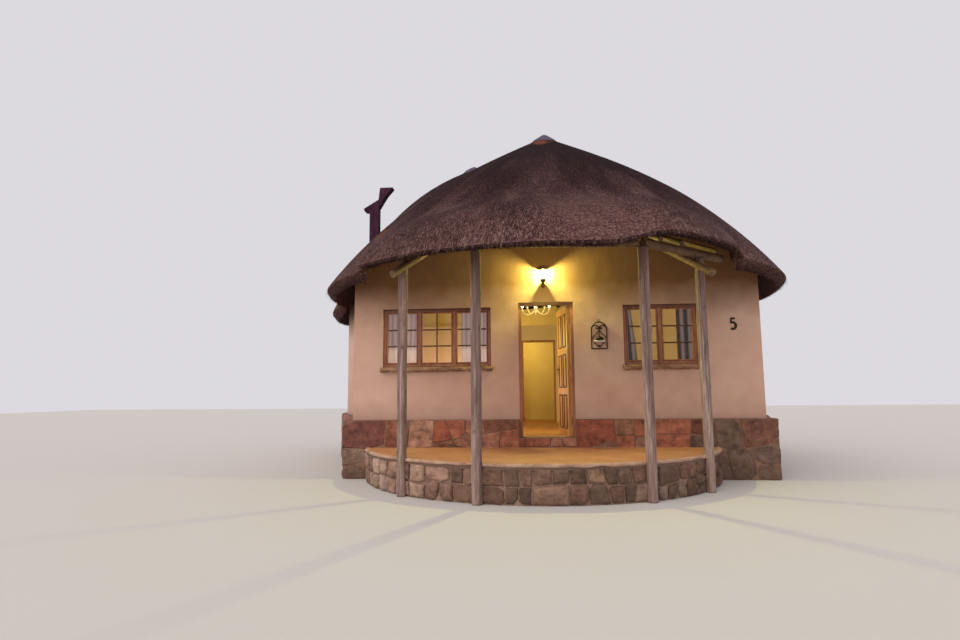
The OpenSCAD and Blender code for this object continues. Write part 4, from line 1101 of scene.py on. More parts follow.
# %% Plaster fillets at the front corners
# They smooth the 10 mm step where the front wall's end meets the round wall. Each is an upright
# strip 20 mm deep, from the plinth to under the thatch.
FILLET_X, FILLET_T, FILLET_Y, FILLET_TOP = 3.133, 20 * MM, (-1.742, -1.7125), 3.252
fillets = []
for side in (-1, 1):
    plan = [(FILLET_X, FILLET_Y[0]), (FILLET_X, FILLET_Y[1]), (FILLET_X - FILLET_T, FILLET_Y[1]),
            (FILLET_X - FILLET_T, FILLET_Y[0])]
    v = [(side * x, y, z) for z in (PLINTH_TOP, FILLET_TOP) for x, y in plan]
    fillets.append((v, [[0, 1, 2, 3], [4, 5, 6, 7]] + grid_faces(2, 4, True).tolist()))
closed_piece("corner_fillets", fillets, plaster_mat, "plaster", smooth=False)

# %% [markdown]
# ## Timber
#
# Three kinds of wood show. The roof's poles are gum saplings, grey-brown and rough. The frames are
# planed hardwood, oiled brown and half matt. The door is pine, varnished honey gold, with darker
# beads round its panels: their near-black brown is painted shadow, for the shade in the panels'
# deep reveals. All have long fibres, so all are noise stretched 14 times along the grain, and only
# the colours, the fibre's width and the gloss differ.

# %% Wood finish
GRAIN_STRETCH = 0.07
ALONG_Y, ALONG_Z = 1, 2


def up_to(node, low_z, high_z, most):
    """A share that grows from 0 at one height to most at another."""
    return node("MapRange", node("SeparateXYZ", place(node), out=2), low_z, high_z, 0.0, most)


def wood(name, deep, middle, pale, along, gloss, fibre=12 * MM, depth=1.5 * MM, head=None):
    """Wood with its grain along one axis: 0.55 of a fine noise + 0.45 of one 7 times as wide, run
    through three tones. gloss is the roughness. Between the two heights of head it darkens to a
    near-black brown: painted shade at the frames' heads."""
    m, node, shader = material(name, Roughness=gloss)
    stretch = [1.0, 1.0, 1.0]
    stretch[along] = GRAIN_STRETCH
    at = place(node, stretch)
    narrow = node("TexNoise", Vector=at, Scale=1 / fibre, Detail=5, Roughness=0.7)
    broad = node("TexNoise", Vector=at, Scale=1 / (7 * fibre), Detail=4, Roughness=0.5)
    broad = node("Math", broad, 0.45, operation="MULTIPLY")
    both = node("Math", narrow, 0.55, broad, operation="MULTIPLY_ADD")
    colour = node("ValToRGB", both, stops=[(0.33, deep), (0.5, middle), (0.66, pale)])
    # Painted shade at the head of the frames.
    if head:
        colour = node("Mix", up_to(node, *head, 0.7), colour, srgb("#3a1f10"), data_type="RGBA")
    feed(shader, Base_Color=colour, Normal=node("Bump", Height=both, Distance=depth, Strength=0.9))
    return m


# Real fibres are 1 to 2 mm wide: they are drawn at 12 mm, and at 20 mm on the rough poles.
beam_mat = wood("roof_timber", "#3c2c20", "#644a35", "#886a4b", ALONG_Y, 0.8, 20 * MM, 3 * MM)
# The joinery's painted shade darkens the tops of the frames from 2.56 m up.
joinery_mat = wood("brown_joinery", "#6a3822", "#9c5e42", "#b68063", ALONG_Z, 0.5,
                   head=(2.56, 2.60))
door_mat = wood("varnished_door", "#8b5623", "#b68145", "#d3a868", ALONG_Z, 0.42)
# Painted shadow: the beads' near-black brown stands for the shade in the panels' reveals. The same
# dark wood makes the glazing bars and the painted shadow lines of the windows.
bead_and_shade_mat = wood("door_bead", "#34180a", "#522b14", "#6e4020", ALONG_Z, 0.45)
paint(beam_mat, "roof_poles", "porch_rafters", "ring_beams", "hip_poles")
paint(joinery_mat, "door_frame", "window_frames", "inner_door_frame")
paint(door_mat, "door_leaf")

# %% [markdown]
# ## Beads on the door
#
# The door has six panels, each framed by a dark moulded bead with mitred corners, on both faces.
# The bead's dark colour is painted shadow, for the shade in the panels' reveals. A bevelled box
# would miss the moulding's round, so its section is drawn once and set in at each of the panel's
# four corners; straight faces join the corners. The beads ride on the door's body and swing
# with it.

# %% Door beads
HINGE, LEAF_OPEN = np.array([0.286, -1.875, 0.61]), math.radians(81)
LEAF_GAP, LEAF_T, LEAF_W, LEAF_H = 5 * MM, 44 * MM, 0.75, 2.025
RAIL = 105 * MM
PANEL_W, PANEL_H = (LEAF_W - 3 * RAIL) / 2, (LEAF_H - 4 * RAIL) / 3
# The bead's section as (distance in from the panel's edge, height over the leaf's face).
BEAD = np.array([(0, -10), (0, 3), (4, 10), (11, 13), (17, 9), (22, 1), (22, -10)]) * MM
CORNERS = np.array([(0, 0), (1, 0), (1, 1), (0, 1)])


def bead_ring(x0, z0, face, out):
    """A bead round one panel: at a corner (i, j) the section's point lies at x0 + inset + i (w - 2
    inset), and likewise up. out is the way it stands off the face, -1 or 1."""
    inset, proud = BEAD.T
    i, j = CORNERS[:, :, None].transpose(1, 0, 2)
    x = x0 + inset + i * (PANEL_W - 2 * inset)
    z = z0 + inset + j * (PANEL_H - 2 * inset)
    v = np.stack([x, np.broadcast_to(face + out * proud, x.shape), z], -1).reshape(-1, 3)
    n = len(BEAD)
    quads = grid_faces(5, n, True) % (4 * n)
    return v, quads.tolist()


panels = [(-LEAF_GAP - LEAF_W + RAIL + i * (PANEL_W + RAIL), LEAF_GAP + RAIL + j * (PANEL_H + RAIL))
          for i in range(2) for j in range(3)]
beads = [bead_ring(x, z, face, out) for x, z in panels
         for face, out in ((-LEAF_GAP - LEAF_T, -1), (-LEAF_GAP, 1))]
c, s = math.cos(LEAF_OPEN), math.sin(LEAF_OPEN)
swing = np.array([[c, -s, 0], [s, c, 0], [0, 0, 1]])
beads = [(v @ swing + HINGE, f) for v, f in beads]
closed_piece("door_beads", beads, bead_and_shade_mat, "door_wood", smooth=False, body="door")

# %% [markdown]
# ## Porch posts
#
# The posts are peeled gum logs that have weathered silver grey, browner near the top where the roof
# keeps them dry. Long cracks run down them, and knots stand out where twigs were cut. A plain
# cylinder with a bump would keep its straight outline, so each log is a grid in angle and height
# whose radius swells, bulges at the knots and dips along the cracks.

# %% Weathered pole finish
# Fibres of 20 mm and bands of 140 mm, stretched down the log. The cracks and knots are darker by
# the mesh's own value, so they fall where the shape has them.
pole_mat, node, shader = material("weathered_pole", Roughness=0.85)
at = place(node, (1.0, 1.0, GRAIN_STRETCH))
narrow = node("TexNoise", Vector=at, Scale=1 / (20 * MM), Detail=5, Roughness=0.7)
broad = node("TexNoise", Vector=at, Scale=1 / (140 * MM), Detail=4, Roughness=0.55)
broad = node("Math", broad, 0.5, operation="MULTIPLY")
both = node("Math", narrow, 0.5, broad, operation="MULTIPLY_ADD")
colour = node("ValToRGB", both, stops=[(0.36, "#56413a"), (0.5, "#866d64"), (0.62, "#b29b91")])
colour = node("Mix", up_to(node, 2.3, 3.0, 0.6), colour, srgb("#5a3a24"), data_type="RGBA")
cracks = node("Attribute", out="Fac", attribute_name="dark")
colour = node("Mix", cracks, colour, srgb("#3a2a25"), data_type="RGBA")
feed(shader, Base_Color=colour, Normal=node("Bump", Height=both, Distance=4 * MM, Strength=0.8))

# %% Logs
POST_R, POST_TOP, POST_FROM = 65 * MM, 3.0646, 2.73
POST_AZ = (-130.4, -106.1, -61.6, -37.0)
LOG_SIDES, LOG_RINGS, KNOTS, CRACKS = 56, 150, 12, 9
CRACK_W, CRACK_DEPTH = 6 * MM, 6 * MM


def round_off(a, centre):
    """Distance on the log's skin from an angle: the radius times the angle, taken the short way."""
    return np.angle(np.exp(1j * (a - centre))) * POST_R


def log(x, y, seed):
    """r = R (0.97 + 0.045 slow noise + 0.015 quick noise), + 6 mm exp(-d^2) - 6 mm exp(-6 d^2) at a
    knot, - 6 mm exp(-(d / 6 mm)^2) along a crack that wanders by 0.15 sin(2 z)."""
    g = np.random.default_rng(seed)
    a, z = np.meshgrid(np.arange(LOG_SIDES) / LOG_SIDES * TURN, np.linspace(0, POST_TOP, LOG_RINGS))
    r = POST_R * (0.97 + 0.045 * lattice(a * 3 / math.pi, z * 1.6, seed, 6)
                  + 0.015 * lattice(a * 8 / math.pi, z * 9, seed + 1, 16))
    dark = np.zeros_like(r)
    for _ in range(KNOTS):
        ka, kz, size = g.uniform(0, TURN), g.uniform(0.3, 2.9), g.uniform(14 * MM, 26 * MM)
        d2 = (round_off(a, ka) ** 2 + ((z - kz) * 0.7) ** 2) / size ** 2
        r = r + 6 * MM * np.exp(-d2) - 6 * MM * np.exp(-d2 * 6)
        dark = np.maximum(dark, 0.9 * np.exp(-d2 * 2.5))
    for _ in range(CRACKS):
        ka, z0, run = g.uniform(0, TURN), g.uniform(0.1, 2.2), g.uniform(0.4, 1.3)
        off = round_off(a - 0.15 * np.sin(z * 2 + ka), ka)
        inside = ease((z - z0) / 0.15) * ease((z0 + run - z) / 0.15)
        r = r - CRACK_DEPTH * inside * np.exp(-(off / CRACK_W) ** 2)
        dark = np.maximum(dark, 0.8 * inside * np.exp(-(off / (5 * MM)) ** 2))
    v = polar(r.ravel(), a.ravel(), z.ravel(), (x, y))
    return v, tube_faces(LOG_RINGS, LOG_SIDES), dark.ravel()


feet = [polar(POST_FROM, math.radians(one), centre=PORCH)[0] for one in POST_AZ]
logs = [log(*foot, 30 + k) for k, foot in enumerate(feet)]
posts = mesh_object("porch_logs", *joined([one[:2] for one in logs]), pole_mat, slot="round_timber",
                    values={"dark": np.concatenate([one[2] for one in logs])})
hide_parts("porch_posts")

# %% [markdown]
# ## Glass and metals
#
# The panes are float glass, clear and slightly wavy, so they pass the room's warm light and catch a
# faint sky. The hinges, handles and lamp are wrought iron, forged and waxed: nearly black, a little
# rusty, half matt. The chandelier and the ornament's shelf are steel with cream enamel, smooth and
# softly glossy. The flue is sheet steel, painted dark red-brown and dulled by soot and weather.

# %% Window glass
glass_mat, node, shader = material("window_glass", Roughness=0.01, IOR=1.3, Transmission_Weight=1.0,
                                   Base_Color=srgb("#ffffff"))
waves = node("TexNoise", Vector=place(node), Scale=1 / (250 * MM), Detail=2, Roughness=0.55)
feed(shader, Normal=node("Bump", Height=waves, Distance=0.8 * MM, Strength=0.3))
paint(glass_mat, "window_glass")

# %% Iron, enamel and flue


def metal_material(name, tones, spot, pit, depth, detail, stretch=(1, 1, 1), strength=0.6,
                   **sockets):
    """A worn metal: tones over noise of spot's size, and bumps of pit's size and depth. detail
    holds the layers and roughness of the one, and the layers and roughness of the other."""
    m, node, shader = material(name, **sockets)
    at = place(node, stretch)
    spots = node("TexNoise", Vector=at, Scale=1 / spot, Detail=detail[0], Roughness=detail[1])
    pits = node("TexNoise", Vector=at, Scale=1 / pit, Detail=detail[2], Roughness=detail[3])
    feed(shader, Base_Color=node("ValToRGB", spots, stops=tones),
         Normal=node("Bump", Height=pits, Distance=depth, Strength=strength))
    return m


# Hammer marks of 20 mm with pits of 8 mm.
iron_mat = metal_material("wrought_iron", [(0.35, "#221914"), (0.6, "#3b2b21"), (0.8, "#573826")],
                          20 * MM, 8 * MM, 1 * MM, (5, 0.7, 4, 0.7), Roughness=0.55, Metallic=0.7)
# Enamel lies on smooth, with a faint orange peel of 6 mm.
cream_mat = metal_material("cream_metal", [(0.35, "#e4dcc8"), (0.65, "#f4eee0")], 30 * MM, 6 * MM,
                           0.5 * MM, (4, 0.55, 3, 0.55), strength=0.4, Roughness=0.45, Metallic=0.1)
# Soot runs down in patches of 120 mm, three times as long, and the sheet is dented every 50 mm.
flue_mat = metal_material("flue_metal", [(0.3, "#231120"), (0.52, "#431f32"), (0.7, "#603043")],
                          120 * MM, 50 * MM, 3 * MM, (6, 0.65, 5, 0.55), stretch=(1, 1, 0.35),
                          Roughness=0.8, Metallic=0.1, Specular_IOR_Level=0.2)
paint(iron_mat, "door_hinges", "door_fittings", "wall_lamp")
paint(flue_mat, "chimney_flue", "chimney_cowl")

# %% [markdown]
# ## Mortar caps
#
# Where the thatch comes to a point, rain would find its way in, so each point is sealed with a cap
# of mortar, laid on by hand. A turned dome would look machined and would stand off the thatch, so
# the cap takes the thatch's own height, adds a low dome and lumps, and sinks at its rim.

# %% Mortar caps on the roof points
# Weathered cement mortar, dark and bluish: partly lichen, partly painted light of the sky.
cap_mat = mortar_material("cap_mortar", "#3d3246", "#685b6d")
CAP_R, CAP_T, CAP_SUNK, CAP_SIDES, CAP_ROWS = 0.31, 55 * MM, 35 * MM, 72, 22


def cap(name, stands_for, cx, cy, seed):
    """z = roof + T sqrt(1 - t^2) - 35 mm t^6 + lumps, at t from the middle (0) to the rim (1),
    where the radius is CAP_R t, wavy by 5 %. A cone of faces closes it from below."""
    a = np.arange(CAP_SIDES) / CAP_SIDES * TURN
    rings = []
    for t in np.linspace(0, 1, CAP_ROWS):
        wavy = 1 + 0.05 * t * lattice(a * 5 / math.pi, a * 0 + 1, seed, 10)
        x, y = polar(np.maximum(CAP_R * t, 4 * MM) * wavy, a, centre=(cx, cy)).T
        lump = (10 * MM * lattice(x * 16, y * 16, seed + 1)
                + 5 * MM * lattice(x * 45, y * 45, seed + 2))
        dome = CAP_T * math.sqrt(max(0.0, 1 - t ** 2)) - CAP_SUNK * t ** 6
        rings.append(np.c_[x, y, roof_top(x, y)[0] + dome + lump * min(1, 4 * t)])
    v = np.concatenate(rings + [[(cx, cy, rings[-1][:, 2].min() - 20 * MM)]])
    v = np.clip(v, box_low, box_high)
    last, n = (CAP_ROWS - 1) * CAP_SIDES, CAP_SIDES
    under = [[last + (i + 1) % n, last + i, len(v) - 1] for i in range(n)]
    faces = tube_faces(CAP_ROWS, n, top=False) + under
    closed_piece(name, [(v, faces)], cap_mat, "mortar", stands_for)


cap("cap_main", "apex_cap_main", 0.0, 0.0, 140)
cap("cap_rear", "apex_cap_rear", *REAR, 150)

# %% [markdown]
# ## Windows
#
# The windows are joiner's work: a frame with three or two lights, and in each light a sash with two
# columns and three rows of panes. The glazing bars look nearly black. The dark strips round each
# sash and round each whole frame are painted shadow lines, for the shade in the gaps. The bars
# could be cut from one board, but every one is a strip with its front edges planed off, so one
# function makes a strip and a loop lays them out from the window's sizes.

# %% Sashes and glazing bars
WALL_FACE, FRAME_Y, FRAME_W = -2.0, -1.955, 48 * MM
WINDOW_Z, WINDOW_H = 1.70, 0.925
WINDOWS = ((-2.669, 1.716, 3), (1.092, 1.113, 2))
SASH, BAR, SHADOW_LINE = 26 * MM, 21 * MM, 10 * MM
SASH_BACK, FRAME_SHADOW_LINE = 32 * MM, 12 * MM


def bar(x0, x1, y0, y1, z0, z1, edge=4 * MM):
    """A bar along its longer side. Its front, towards -Y, has both long edges cut at 45 degrees."""
    w, depth = min(x1 - x0, z1 - z0), y1 - y0
    section = [(0, depth), (0, edge), (edge, 0), (w - edge, 0), (w, edge), (w, depth)]
    a, b = np.tile(section, (2, 1)).T
    end = np.repeat([0, 1], len(section))
    if x1 - x0 < z1 - z0:
        v = np.c_[x0 + a, y0 + b, z0 + end * (z1 - z0)]
    else:
        v = np.c_[x0 + end * (x1 - x0), y0 + b, z0 + a]
    return v, tube_faces(2, len(section))


def bars_round(x0, x1, z0, z1, w, front, back):
    """Four bars of width w inside a rectangle."""
    return [bar(x0, x0 + w, front, back, z0, z1), bar(x1 - w, x1, front, back, z0, z1),
            bar(x0 + w, x1 - w, front, back, z0, z0 + w),
            bar(x0 + w, x1 - w, front, back, z1 - w, z1)]


sashes, bars_and_shadow_lines = [], []
z0, z1 = WINDOW_Z + FRAME_W, WINDOW_Z + WINDOW_H - FRAME_W
front, back = FRAME_Y + 6 * MM, FRAME_Y + SASH_BACK
for x, w, lights in WINDOWS:
    light_w = (w - (lights + 1) * FRAME_W) / lights
    for i in range(lights):
        x0 = x + FRAME_W + i * (light_w + FRAME_W)
        x1, mid = x0 + light_w, x0 + light_w / 2
        sashes += bars_round(x0, x1, z0, z1, SASH, front, back)
        # A painted shadow line, a dark strip, runs round the sash 1 mm past the light's edges, for
        # the shade in the gap between sash and frame.
        bars_and_shadow_lines += bars_round(x0 - 1 * MM, x1 + 1 * MM, z0 - 1 * MM, z1 + 1 * MM, SHADOW_LINE,
                                FRAME_Y - 1.2 * MM, back)
        bars_and_shadow_lines.append(bar(mid - BAR / 2, mid + BAR / 2, front + 6 * MM, back,
                             z0 + SASH, z1 - SASH))
        for k in (1, 2):
            z = z0 + SASH + (z1 - z0 - 2 * SASH) * k / 3
            for left, right_ in ((x0 + SASH, mid - BAR / 2), (mid + BAR / 2, x1 - SASH)):
                bars_and_shadow_lines.append(bar(left, right_, front + 8 * MM, back, z - BAR / 2, z + BAR / 2))
    # A painted shadow line also runs round each whole frame, where it meets the wall.
    bars_and_shadow_lines += bars_round(x - 1 * MM, x + w + 1 * MM, WINDOW_Z - 1 * MM,
                            WINDOW_Z + WINDOW_H + 1 * MM, FRAME_SHADOW_LINE, FRAME_Y - 4 * MM,
                            FRAME_Y + 10 * MM)
closed_piece("sashes", sashes, joinery_mat, "joinery", smooth=False)
closed_piece("glazing_bars_and_shadow_lines", bars_and_shadow_lines, bead_and_shade_mat, "joinery", smooth=False)

# %% [markdown]
# ## Sills
#
# The sills are slabs of warm brown sandstone, split and only roughly dressed, so their front edges
# are chipped. Cutting chips from a block by hand would give them sharp and few. Here the slab's
# section is carried along it, and smooth noise moves its free edges in and out.

# %% Rough sills
# Brown sandstone, split along its bed: matt and pitted like the mortar, in two warmer tones.
sill_mat = mortar_material("sill_stone", "#6c4a37", "#ad8468")
SILL_T, SILL_OUT, SILL_PAST = 70 * MM, 75 * MM, 22 * MM
# The section as (share of the way forward, share of the way up), from its back over the top.
SLAB = np.array([(0, 1), (0.72, 1), (0.93, 0.96), (1, 0.8), (1, 0.3), (0.94, 0.06), (0.7, 0),
                 (0, 0)])


def rough_slab(x0, x1, y0, y1, z0, z1, seed, chip, step):
    """The section SLAB carried along x. Its front moves forward, and its lower half down, by chip
    times noise about 110 mm long + half as much noise about 30 mm long."""
    n_x = int((x1 - x0) / step) + 1
    x, k = np.meshgrid(np.linspace(x0, x1, n_x), np.arange(len(SLAB)), indexing="ij")
    forward, lift = SLAB.T
    wave = lattice(x * 9, k * 0.8, seed) + 0.5 * lattice(x * 31, k * 1.7, seed + 1)
    y = y1 + (y0 - y1) * forward + chip * wave * (forward > 0.5)
    z = z0 + (z1 - z0) * lift - 0.8 * chip * wave * (lift < 0.5)
    return np.stack([x, y, z], -1).reshape(-1, 3), tube_faces(n_x, len(SLAB))


slabs = [rough_slab(x - SILL_PAST, x + w + SILL_PAST, WALL_FACE - SILL_OUT, FRAME_Y,
                    WINDOW_Z - SILL_T, WINDOW_Z, 160 + k, 20 * MM, 20 * MM)
         for k, (x, w, _) in enumerate(WINDOWS)]
closed_piece("rough_sills", slabs, sill_mat, "sill_stone", "window_sills")

# %% [markdown]
# ## Curtains
#
# A cotton net hangs at both ends of the left window and dark linen drapes at both ends of the right
# one, each gathered on an iron rod. A cloth simulation would fold them, but differently on each
# run. A sheet whose depth is a sine along its width has the same folds for certain: tight at the
# rod and wider at the hem, with a slow drift so that no two are alike.

# %% Cloth finish


def cloth(name, thread, pale, deep):
    """Plain weave: two crossed waves, each repeating every two threads, one over and one under. A
    wave of scale 1 repeats every 0.31 m, so the scale is 1 / (6.28 thread). The mesh's own value
    fold runs from the deep tone to the pale one. The cloth also glows faintly in its own colour:
    painted light, for the daylight that falls on it through the glass."""
    # Painted light: a faint glow in the cloth's own colour.
    m, node, shader = material(name, Roughness=0.9, Sheen_Weight=0.3, Emission_Strength=0.3)
    at = place(node)
    warp, weft = (node("TexWave", out="Fac", Vector=at, Scale=1 / (6.28 * thread),
                       Distortion=0.3, bands_direction=axis) for axis in "XZ")
    weave = node("Math", warp, weft, operation="MULTIPLY")
    fold = node("Attribute", out="Fac", attribute_name="fold")
    colour = node("ValToRGB", fold, stops=[(0.0, deep), (1.0, pale)])
    feed(shader, Base_Color=colour, Emission_Color=colour,
         Normal=node("Bump", Height=weave, Distance=0.6 * MM, Strength=0.5))
    return m


# The real threads are about 0.3 and 0.5 mm thick: they are drawn at 2 and 3 mm.
net_mat = cloth("net_curtain", 2 * MM, "#ffe3cf", "#92767f")
drape_mat = cloth("drape", 3 * MM, "#a68f86", "#30221c")

# %% Rods and sheets
CLOTH_Z0, CLOTH_Z1, CLOTH_ROWS = 1.64, 2.682, 26
ROD_Y, ROD_Z, CLOTH_GAP, FOLD_DEPTH = -1.717, 2.695, 9 * MM, 14 * MM
# A rod's end as (distance in from its tip, radius): a knob with a neck behind it.
ROD_END = np.array([(0, 4), (4, 11), (12, 13), (30, 13), (34, 9.5)]) * MM


def rod(x0, x1):
    """A turned rod with the same knob at both ends."""
    inset, radius = ROD_END.T
    x = np.r_[x0 + inset, x1 - inset[::-1]]
    return sweep(np.c_[x, np.full_like(x, ROD_Y), np.full_like(x, ROD_Z)],
                 np.r_[radius, radius[::-1]], 16)


def curtain(name, x0, x1, mat, folds, pull=0.0, net=False):
    """A gathered sheet at (u, q), across it and down it, where y is the fold's depth times
    (0.55 + 0.45 q) sin(2 pi folds u + drift). pull draws its free edge in at the rod. A net is
    palest in its lowest third. On a net the value fold is painted shade and light: dark in the
    folds' hollows and pale on their crests. On a drape it lays broad pale and deep bands."""
    u, q = np.meshgrid(np.linspace(0, 1, folds * 12 + 1), np.linspace(0, 1, CLOTH_ROWS))
    wave = np.sin(TURN * folds * u + 0.5 * np.sin(q * 3 + u * 7))
    drawn = 1 - pull * (1 - ease(q * 1.2))
    x = x0 + (x1 - x0) * u * drawn + 4 * MM * np.sin(q * 5 + u * 20) * q
    y = ROD_Y + CLOTH_GAP + FOLD_DEPTH * (0.55 + 0.45 * q) * wave
    v = np.stack([x, y, CLOTH_Z1 + (CLOTH_Z0 - CLOTH_Z1) * q], -1)
    lowest = ease((q - 0.60) / 0.08)
    # Painted shade and light on a net: fold follows the folds' depth, dark in the hollows and pale
    # on the crests.
    if net:
        fold = (0.3 - 0.15 * wave) * (1 - lowest) + (0.9 - 0.1 * wave) * lowest
    else:
        fold = 0.28 - 0.5 * np.sin(math.pi * folds * u + 0.8)
    obj = mesh_object(name, v.reshape(-1, 3), grid_faces(*u.shape), mat, slot="curtain_cloth",
                      values={"fold": np.clip(fold, 0, 1).ravel()})


closed_piece("curtain_rods", [rod(-2.729, -0.893), rod(1.032, 2.265)], iron_mat, "dark_iron",
             "curtains")
curtain("curtain_left", -2.667, -2.071, net_mat, 8, net=True)
curtain("curtain_middle", -1.451, -0.955, net_mat, 7, net=True)
curtain("drape_left", 1.094, 1.33, drape_mat, 4, pull=0.3)
curtain("drape_right", 1.967, 2.203, drape_mat, 4)

# %% [markdown]
# ## Ironwork on the wall
#
# The ornament is round iron bar, bent hot into an arched frame with scrolls, and a small bowl on a
# cream shelf. A flat plate with a picture of it would show from the side. Each bar is a tube along
# a smooth curve through a few points, as the real bar is bent round a few pegs. The house number
# is made in the same way, from a line that swells as a brush stroke does, then flattened.

# %% Wall ornament
ORN_X, ORN_Y, ORN_Z0, ORN_TOP = 0.72, WALL_FACE - 12 * MM, 1.94, 2.405
ORN_BAR = 9 * MM
arch_r = 125 * MM - ORN_BAR
spring = ORN_TOP - 45 * MM - arch_r
# Bent bars as (base height, bar radius, points, line of (x, height) in mm): scroll, hook, curl over
# the shelf and leaf of the finial.
BENT = ((spring, 7 * MM, 40, [(980 * arch_r, -20), (850 * arch_r, 45), (50, 70), (12, 35), (30, 12),
                              (50, 30)]),
        (spring, 6 * MM, 24, [(6, -5), (40, -60), (85, -100), (100, -140)]),
        (0.0, 6 * MM, 24, [(90, 2045), (50, 2020), (20, 1975), (4, 1990), (15, 2008)]),
        (ORN_TOP, 3.5 * MM, 16, [(4, -40), (18, -24), (8, -10), (0, -4)]))
# Turned knob and bowl as (radius, height) in mm.
KNOB = np.array([(4, -20), (18, -12), (22, 0), (16, 12), (4, 20)]) * MM
BOWL = np.array([(12, 0), (50, 6), (58, 30), (50, 42), (30, 55), (10, 60)]) * MM
SHELF_Z0, SHELF_Z1, SHELF_HALF = 2.05, 2.074, 82 * MM


def upright(points, y):
    """Points (x, z) set in an upright plane at y."""
    x, z = np.array(points, float).T
    return np.c_[x, np.full(len(x), y), z]


t = np.linspace(math.pi, 0, 25)
corners = [(ORN_X + side * arch_r, ORN_Z0 + ORN_BAR) for side in (-1, 1)]
corners[1:1] = np.c_[ORN_X + arch_r * np.cos(t), spring + arch_r * np.sin(t)].tolist()
runs = [np.linspace(p, q, max(1, int(math.dist(p, q) / (20 * MM))), endpoint=False)
        for p, q in zip(corners, corners[1:] + corners[:1])]
iron_parts = [sweep(upright(np.concatenate(runs), ORN_Y), ORN_BAR, 8, closed=True)]
for side in (-1, 1):
    for base, radius, count, path in BENT:
        path = np.array(path) * MM * (side, 1) + (ORN_X, base)
        iron_parts.append(sweep(curve(upright(path, ORN_Y), count), radius, 8))
stem = [(ORN_X, z) for z in np.linspace(SHELF_Z0, spring + 30 * MM, 8)]
iron_parts.append(sweep(upright(stem, ORN_Y), 5 * MM, 8))
iron_parts.append(turned(KNOB, (ORN_X, ORN_Y - 10 * MM, spring + 30 * MM), 20))
iron_parts.append(turned(BOWL, (ORN_X, WALL_FACE - 62 * MM, SHELF_Z1), 28))
closed_piece("ornament_ironwork", iron_parts, iron_mat, "dark_iron", "wall_ornament")
shelf = rough_slab(ORN_X - SHELF_HALF, ORN_X + SHELF_HALF, WALL_FACE - 80 * MM, WALL_FACE - 2 * MM,
                   SHELF_Z0, SHELF_Z1, 170, 0.6 * MM, 10 * MM)
closed_piece("ornament_shelf", [shelf], cream_mat, "cream_metal")

# %% House number: a plain numeral
NUMBER_AT, NUMBER_SIZE = (2.73, WALL_FACE - 4 * MM, 2.30), (95 * MM, 160 * MM)
NUMERAL = np.array([(0.85, 1.0), (0.5, 1.0), (0.22, 1.0), (0.19, 0.8), (0.16, 0.58), (0.45, 0.64),
                    (0.8, 0.52), (0.9, 0.28), (0.7, 0.05), (0.35, 0.0), (0.1, 0.12)])
# The stroke's width in mm at shares of its length.
STROKE_AT, STROKE_W = [0, 0.05, 0.4, 0.7, 0.95, 1], [20, 32, 26, 42, 34, 18]
line_5 = curve(upright((NUMERAL - 0.5) * NUMBER_SIZE, 0.0), 70)
width = np.interp(np.linspace(0, 1, 70), STROKE_AT, STROKE_W) * MM
v, f = sweep(line_5, 0.5 * width, 12)
closed_piece("house_number", [(v * [1, 0.35, 1] + NUMBER_AT, f)], iron_mat, "dark_iron")

# %% [markdown]
# ## Lamp and chandelier
#
# The lamp is a small iron bowl with a bulb and a hood close above it, so that its light fans out
# sideways and leaves a dark arch on the wall. The chandelier hangs from the roof's hub on a thin
# tube, with five arms and candle bulbs. Both are spun or turned metal, so a profile turned round
# an axis gives each part, where a box with rounded edges would show corners against the light.

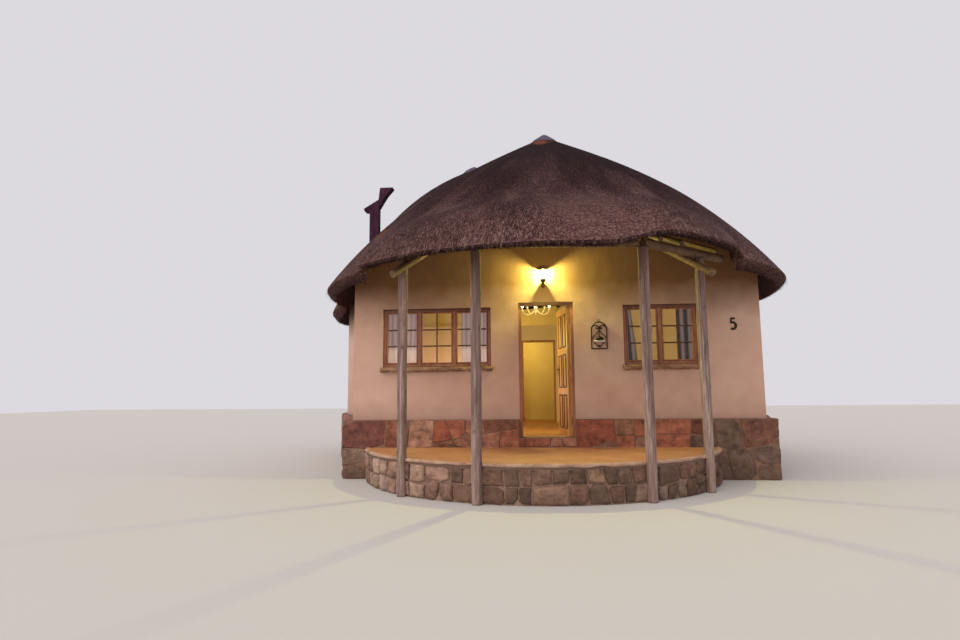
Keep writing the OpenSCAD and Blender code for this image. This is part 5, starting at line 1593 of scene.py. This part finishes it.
# %% Wall lamp: hood, stays and bulb
LAMP_X, LAMP_Y, LAMP_Z, HOOD_Z = -0.123, -2.075, 3.04, 3.181
HOOD = np.array([(64, 0), (67, 3), (50, 12), (28, 19), (10, 23), (8, 34), (2, 38)]) * MM
LAMP_BULB = np.array([(12, 0), (14, 12), (22, 28), (26, 45), (22, 60), (12, 68), (2, 71)]) * MM
v, f = turned(HOOD, (LAMP_X, LAMP_Y, HOOD_Z), 48)
v[:, 1] = np.minimum(v[:, 1], WALL_FACE - 1 * MM)
lamp_parts = [(v, f)]
for side in (-1, 1):
    stay = [(50 * MM, LAMP_Z - 10 * MM), (55 * MM, LAMP_Z + 60 * MM), (50 * MM, HOOD_Z + 6 * MM)]
    stay = np.array(stay) * (side, 1) + (LAMP_X, 0)
    lamp_parts.append(sweep(curve(upright(stay, LAMP_Y + 12 * MM), 14), 2.5 * MM, 8))
closed_piece("lamp_hood", lamp_parts, iron_mat, "dark_iron")

# Frosted glass, lit from within: its own light hides any grain, so it is one plain glow.
glow_mat, _, _ = material("bulb_glow", Roughness=0.3, Base_Color=srgb("#fff0cc"),
                          Emission_Color=srgb("#ffeeb0"), Emission_Strength=14.0)
closed_piece("porch_bulb", [turned(LAMP_BULB, (LAMP_X, LAMP_Y, LAMP_Z))], glow_mat, "cream_metal")

# %% Chandelier
HANG, ARM_Z, ARM_R, HUB_Z = (-0.22, 0.0), 2.83, 0.27, 5.691
HUB = np.array([(6, -50), (22, -35), (30, -10), (20, 20), (12, 50), (24, 75), (10, 100)]) * MM
ROSE = np.array([(30, -30), (45, -20), (45, 0)]) * MM
ARM = np.array([(15, 50), (40, 0), (90, -55), (165, -70), (235, -35), (270, 22)]) * MM
CUP = np.array([(6, 14), (26, 22), (30, 28), (12, 30), (11, 34), (11, 70)]) * MM
CANDLE_BULB = np.array([(8, 0), (16, 8), (26, 26), (25, 46), (13, 66), (1, 78)]) * MM
tube = [(*HANG, z) for z in np.linspace(ARM_Z + 90 * MM, HUB_Z, 40)]
hang_parts = [turned(HUB, (*HANG, ARM_Z), 28), sweep(tube, 6 * MM), turned(ROSE, (*HANG, HUB_Z))]
bulbs = []
for k in range(5):
    t = math.radians(90 + 72 * k)
    r, h = ARM.T
    hang_parts.append(sweep(curve(polar(r, t, ARM_Z + h, HANG), 36), 7 * MM))
    tip = polar(ARM_R, t, ARM_Z, HANG)[0]
    hang_parts.append(turned(CUP, tip, 20))
    bulbs.append(turned(CANDLE_BULB, tip + (0, 0, 70.2 * MM), 20))
closed_piece("chandelier_arms", hang_parts, cream_mat, "cream_metal", "chandelier")
closed_piece("candle_bulbs", bulbs, glow_mat, "cream_metal")

# %% Finish: a plain colour view
bpy.context.scene.view_settings.view_transform = "Standard"
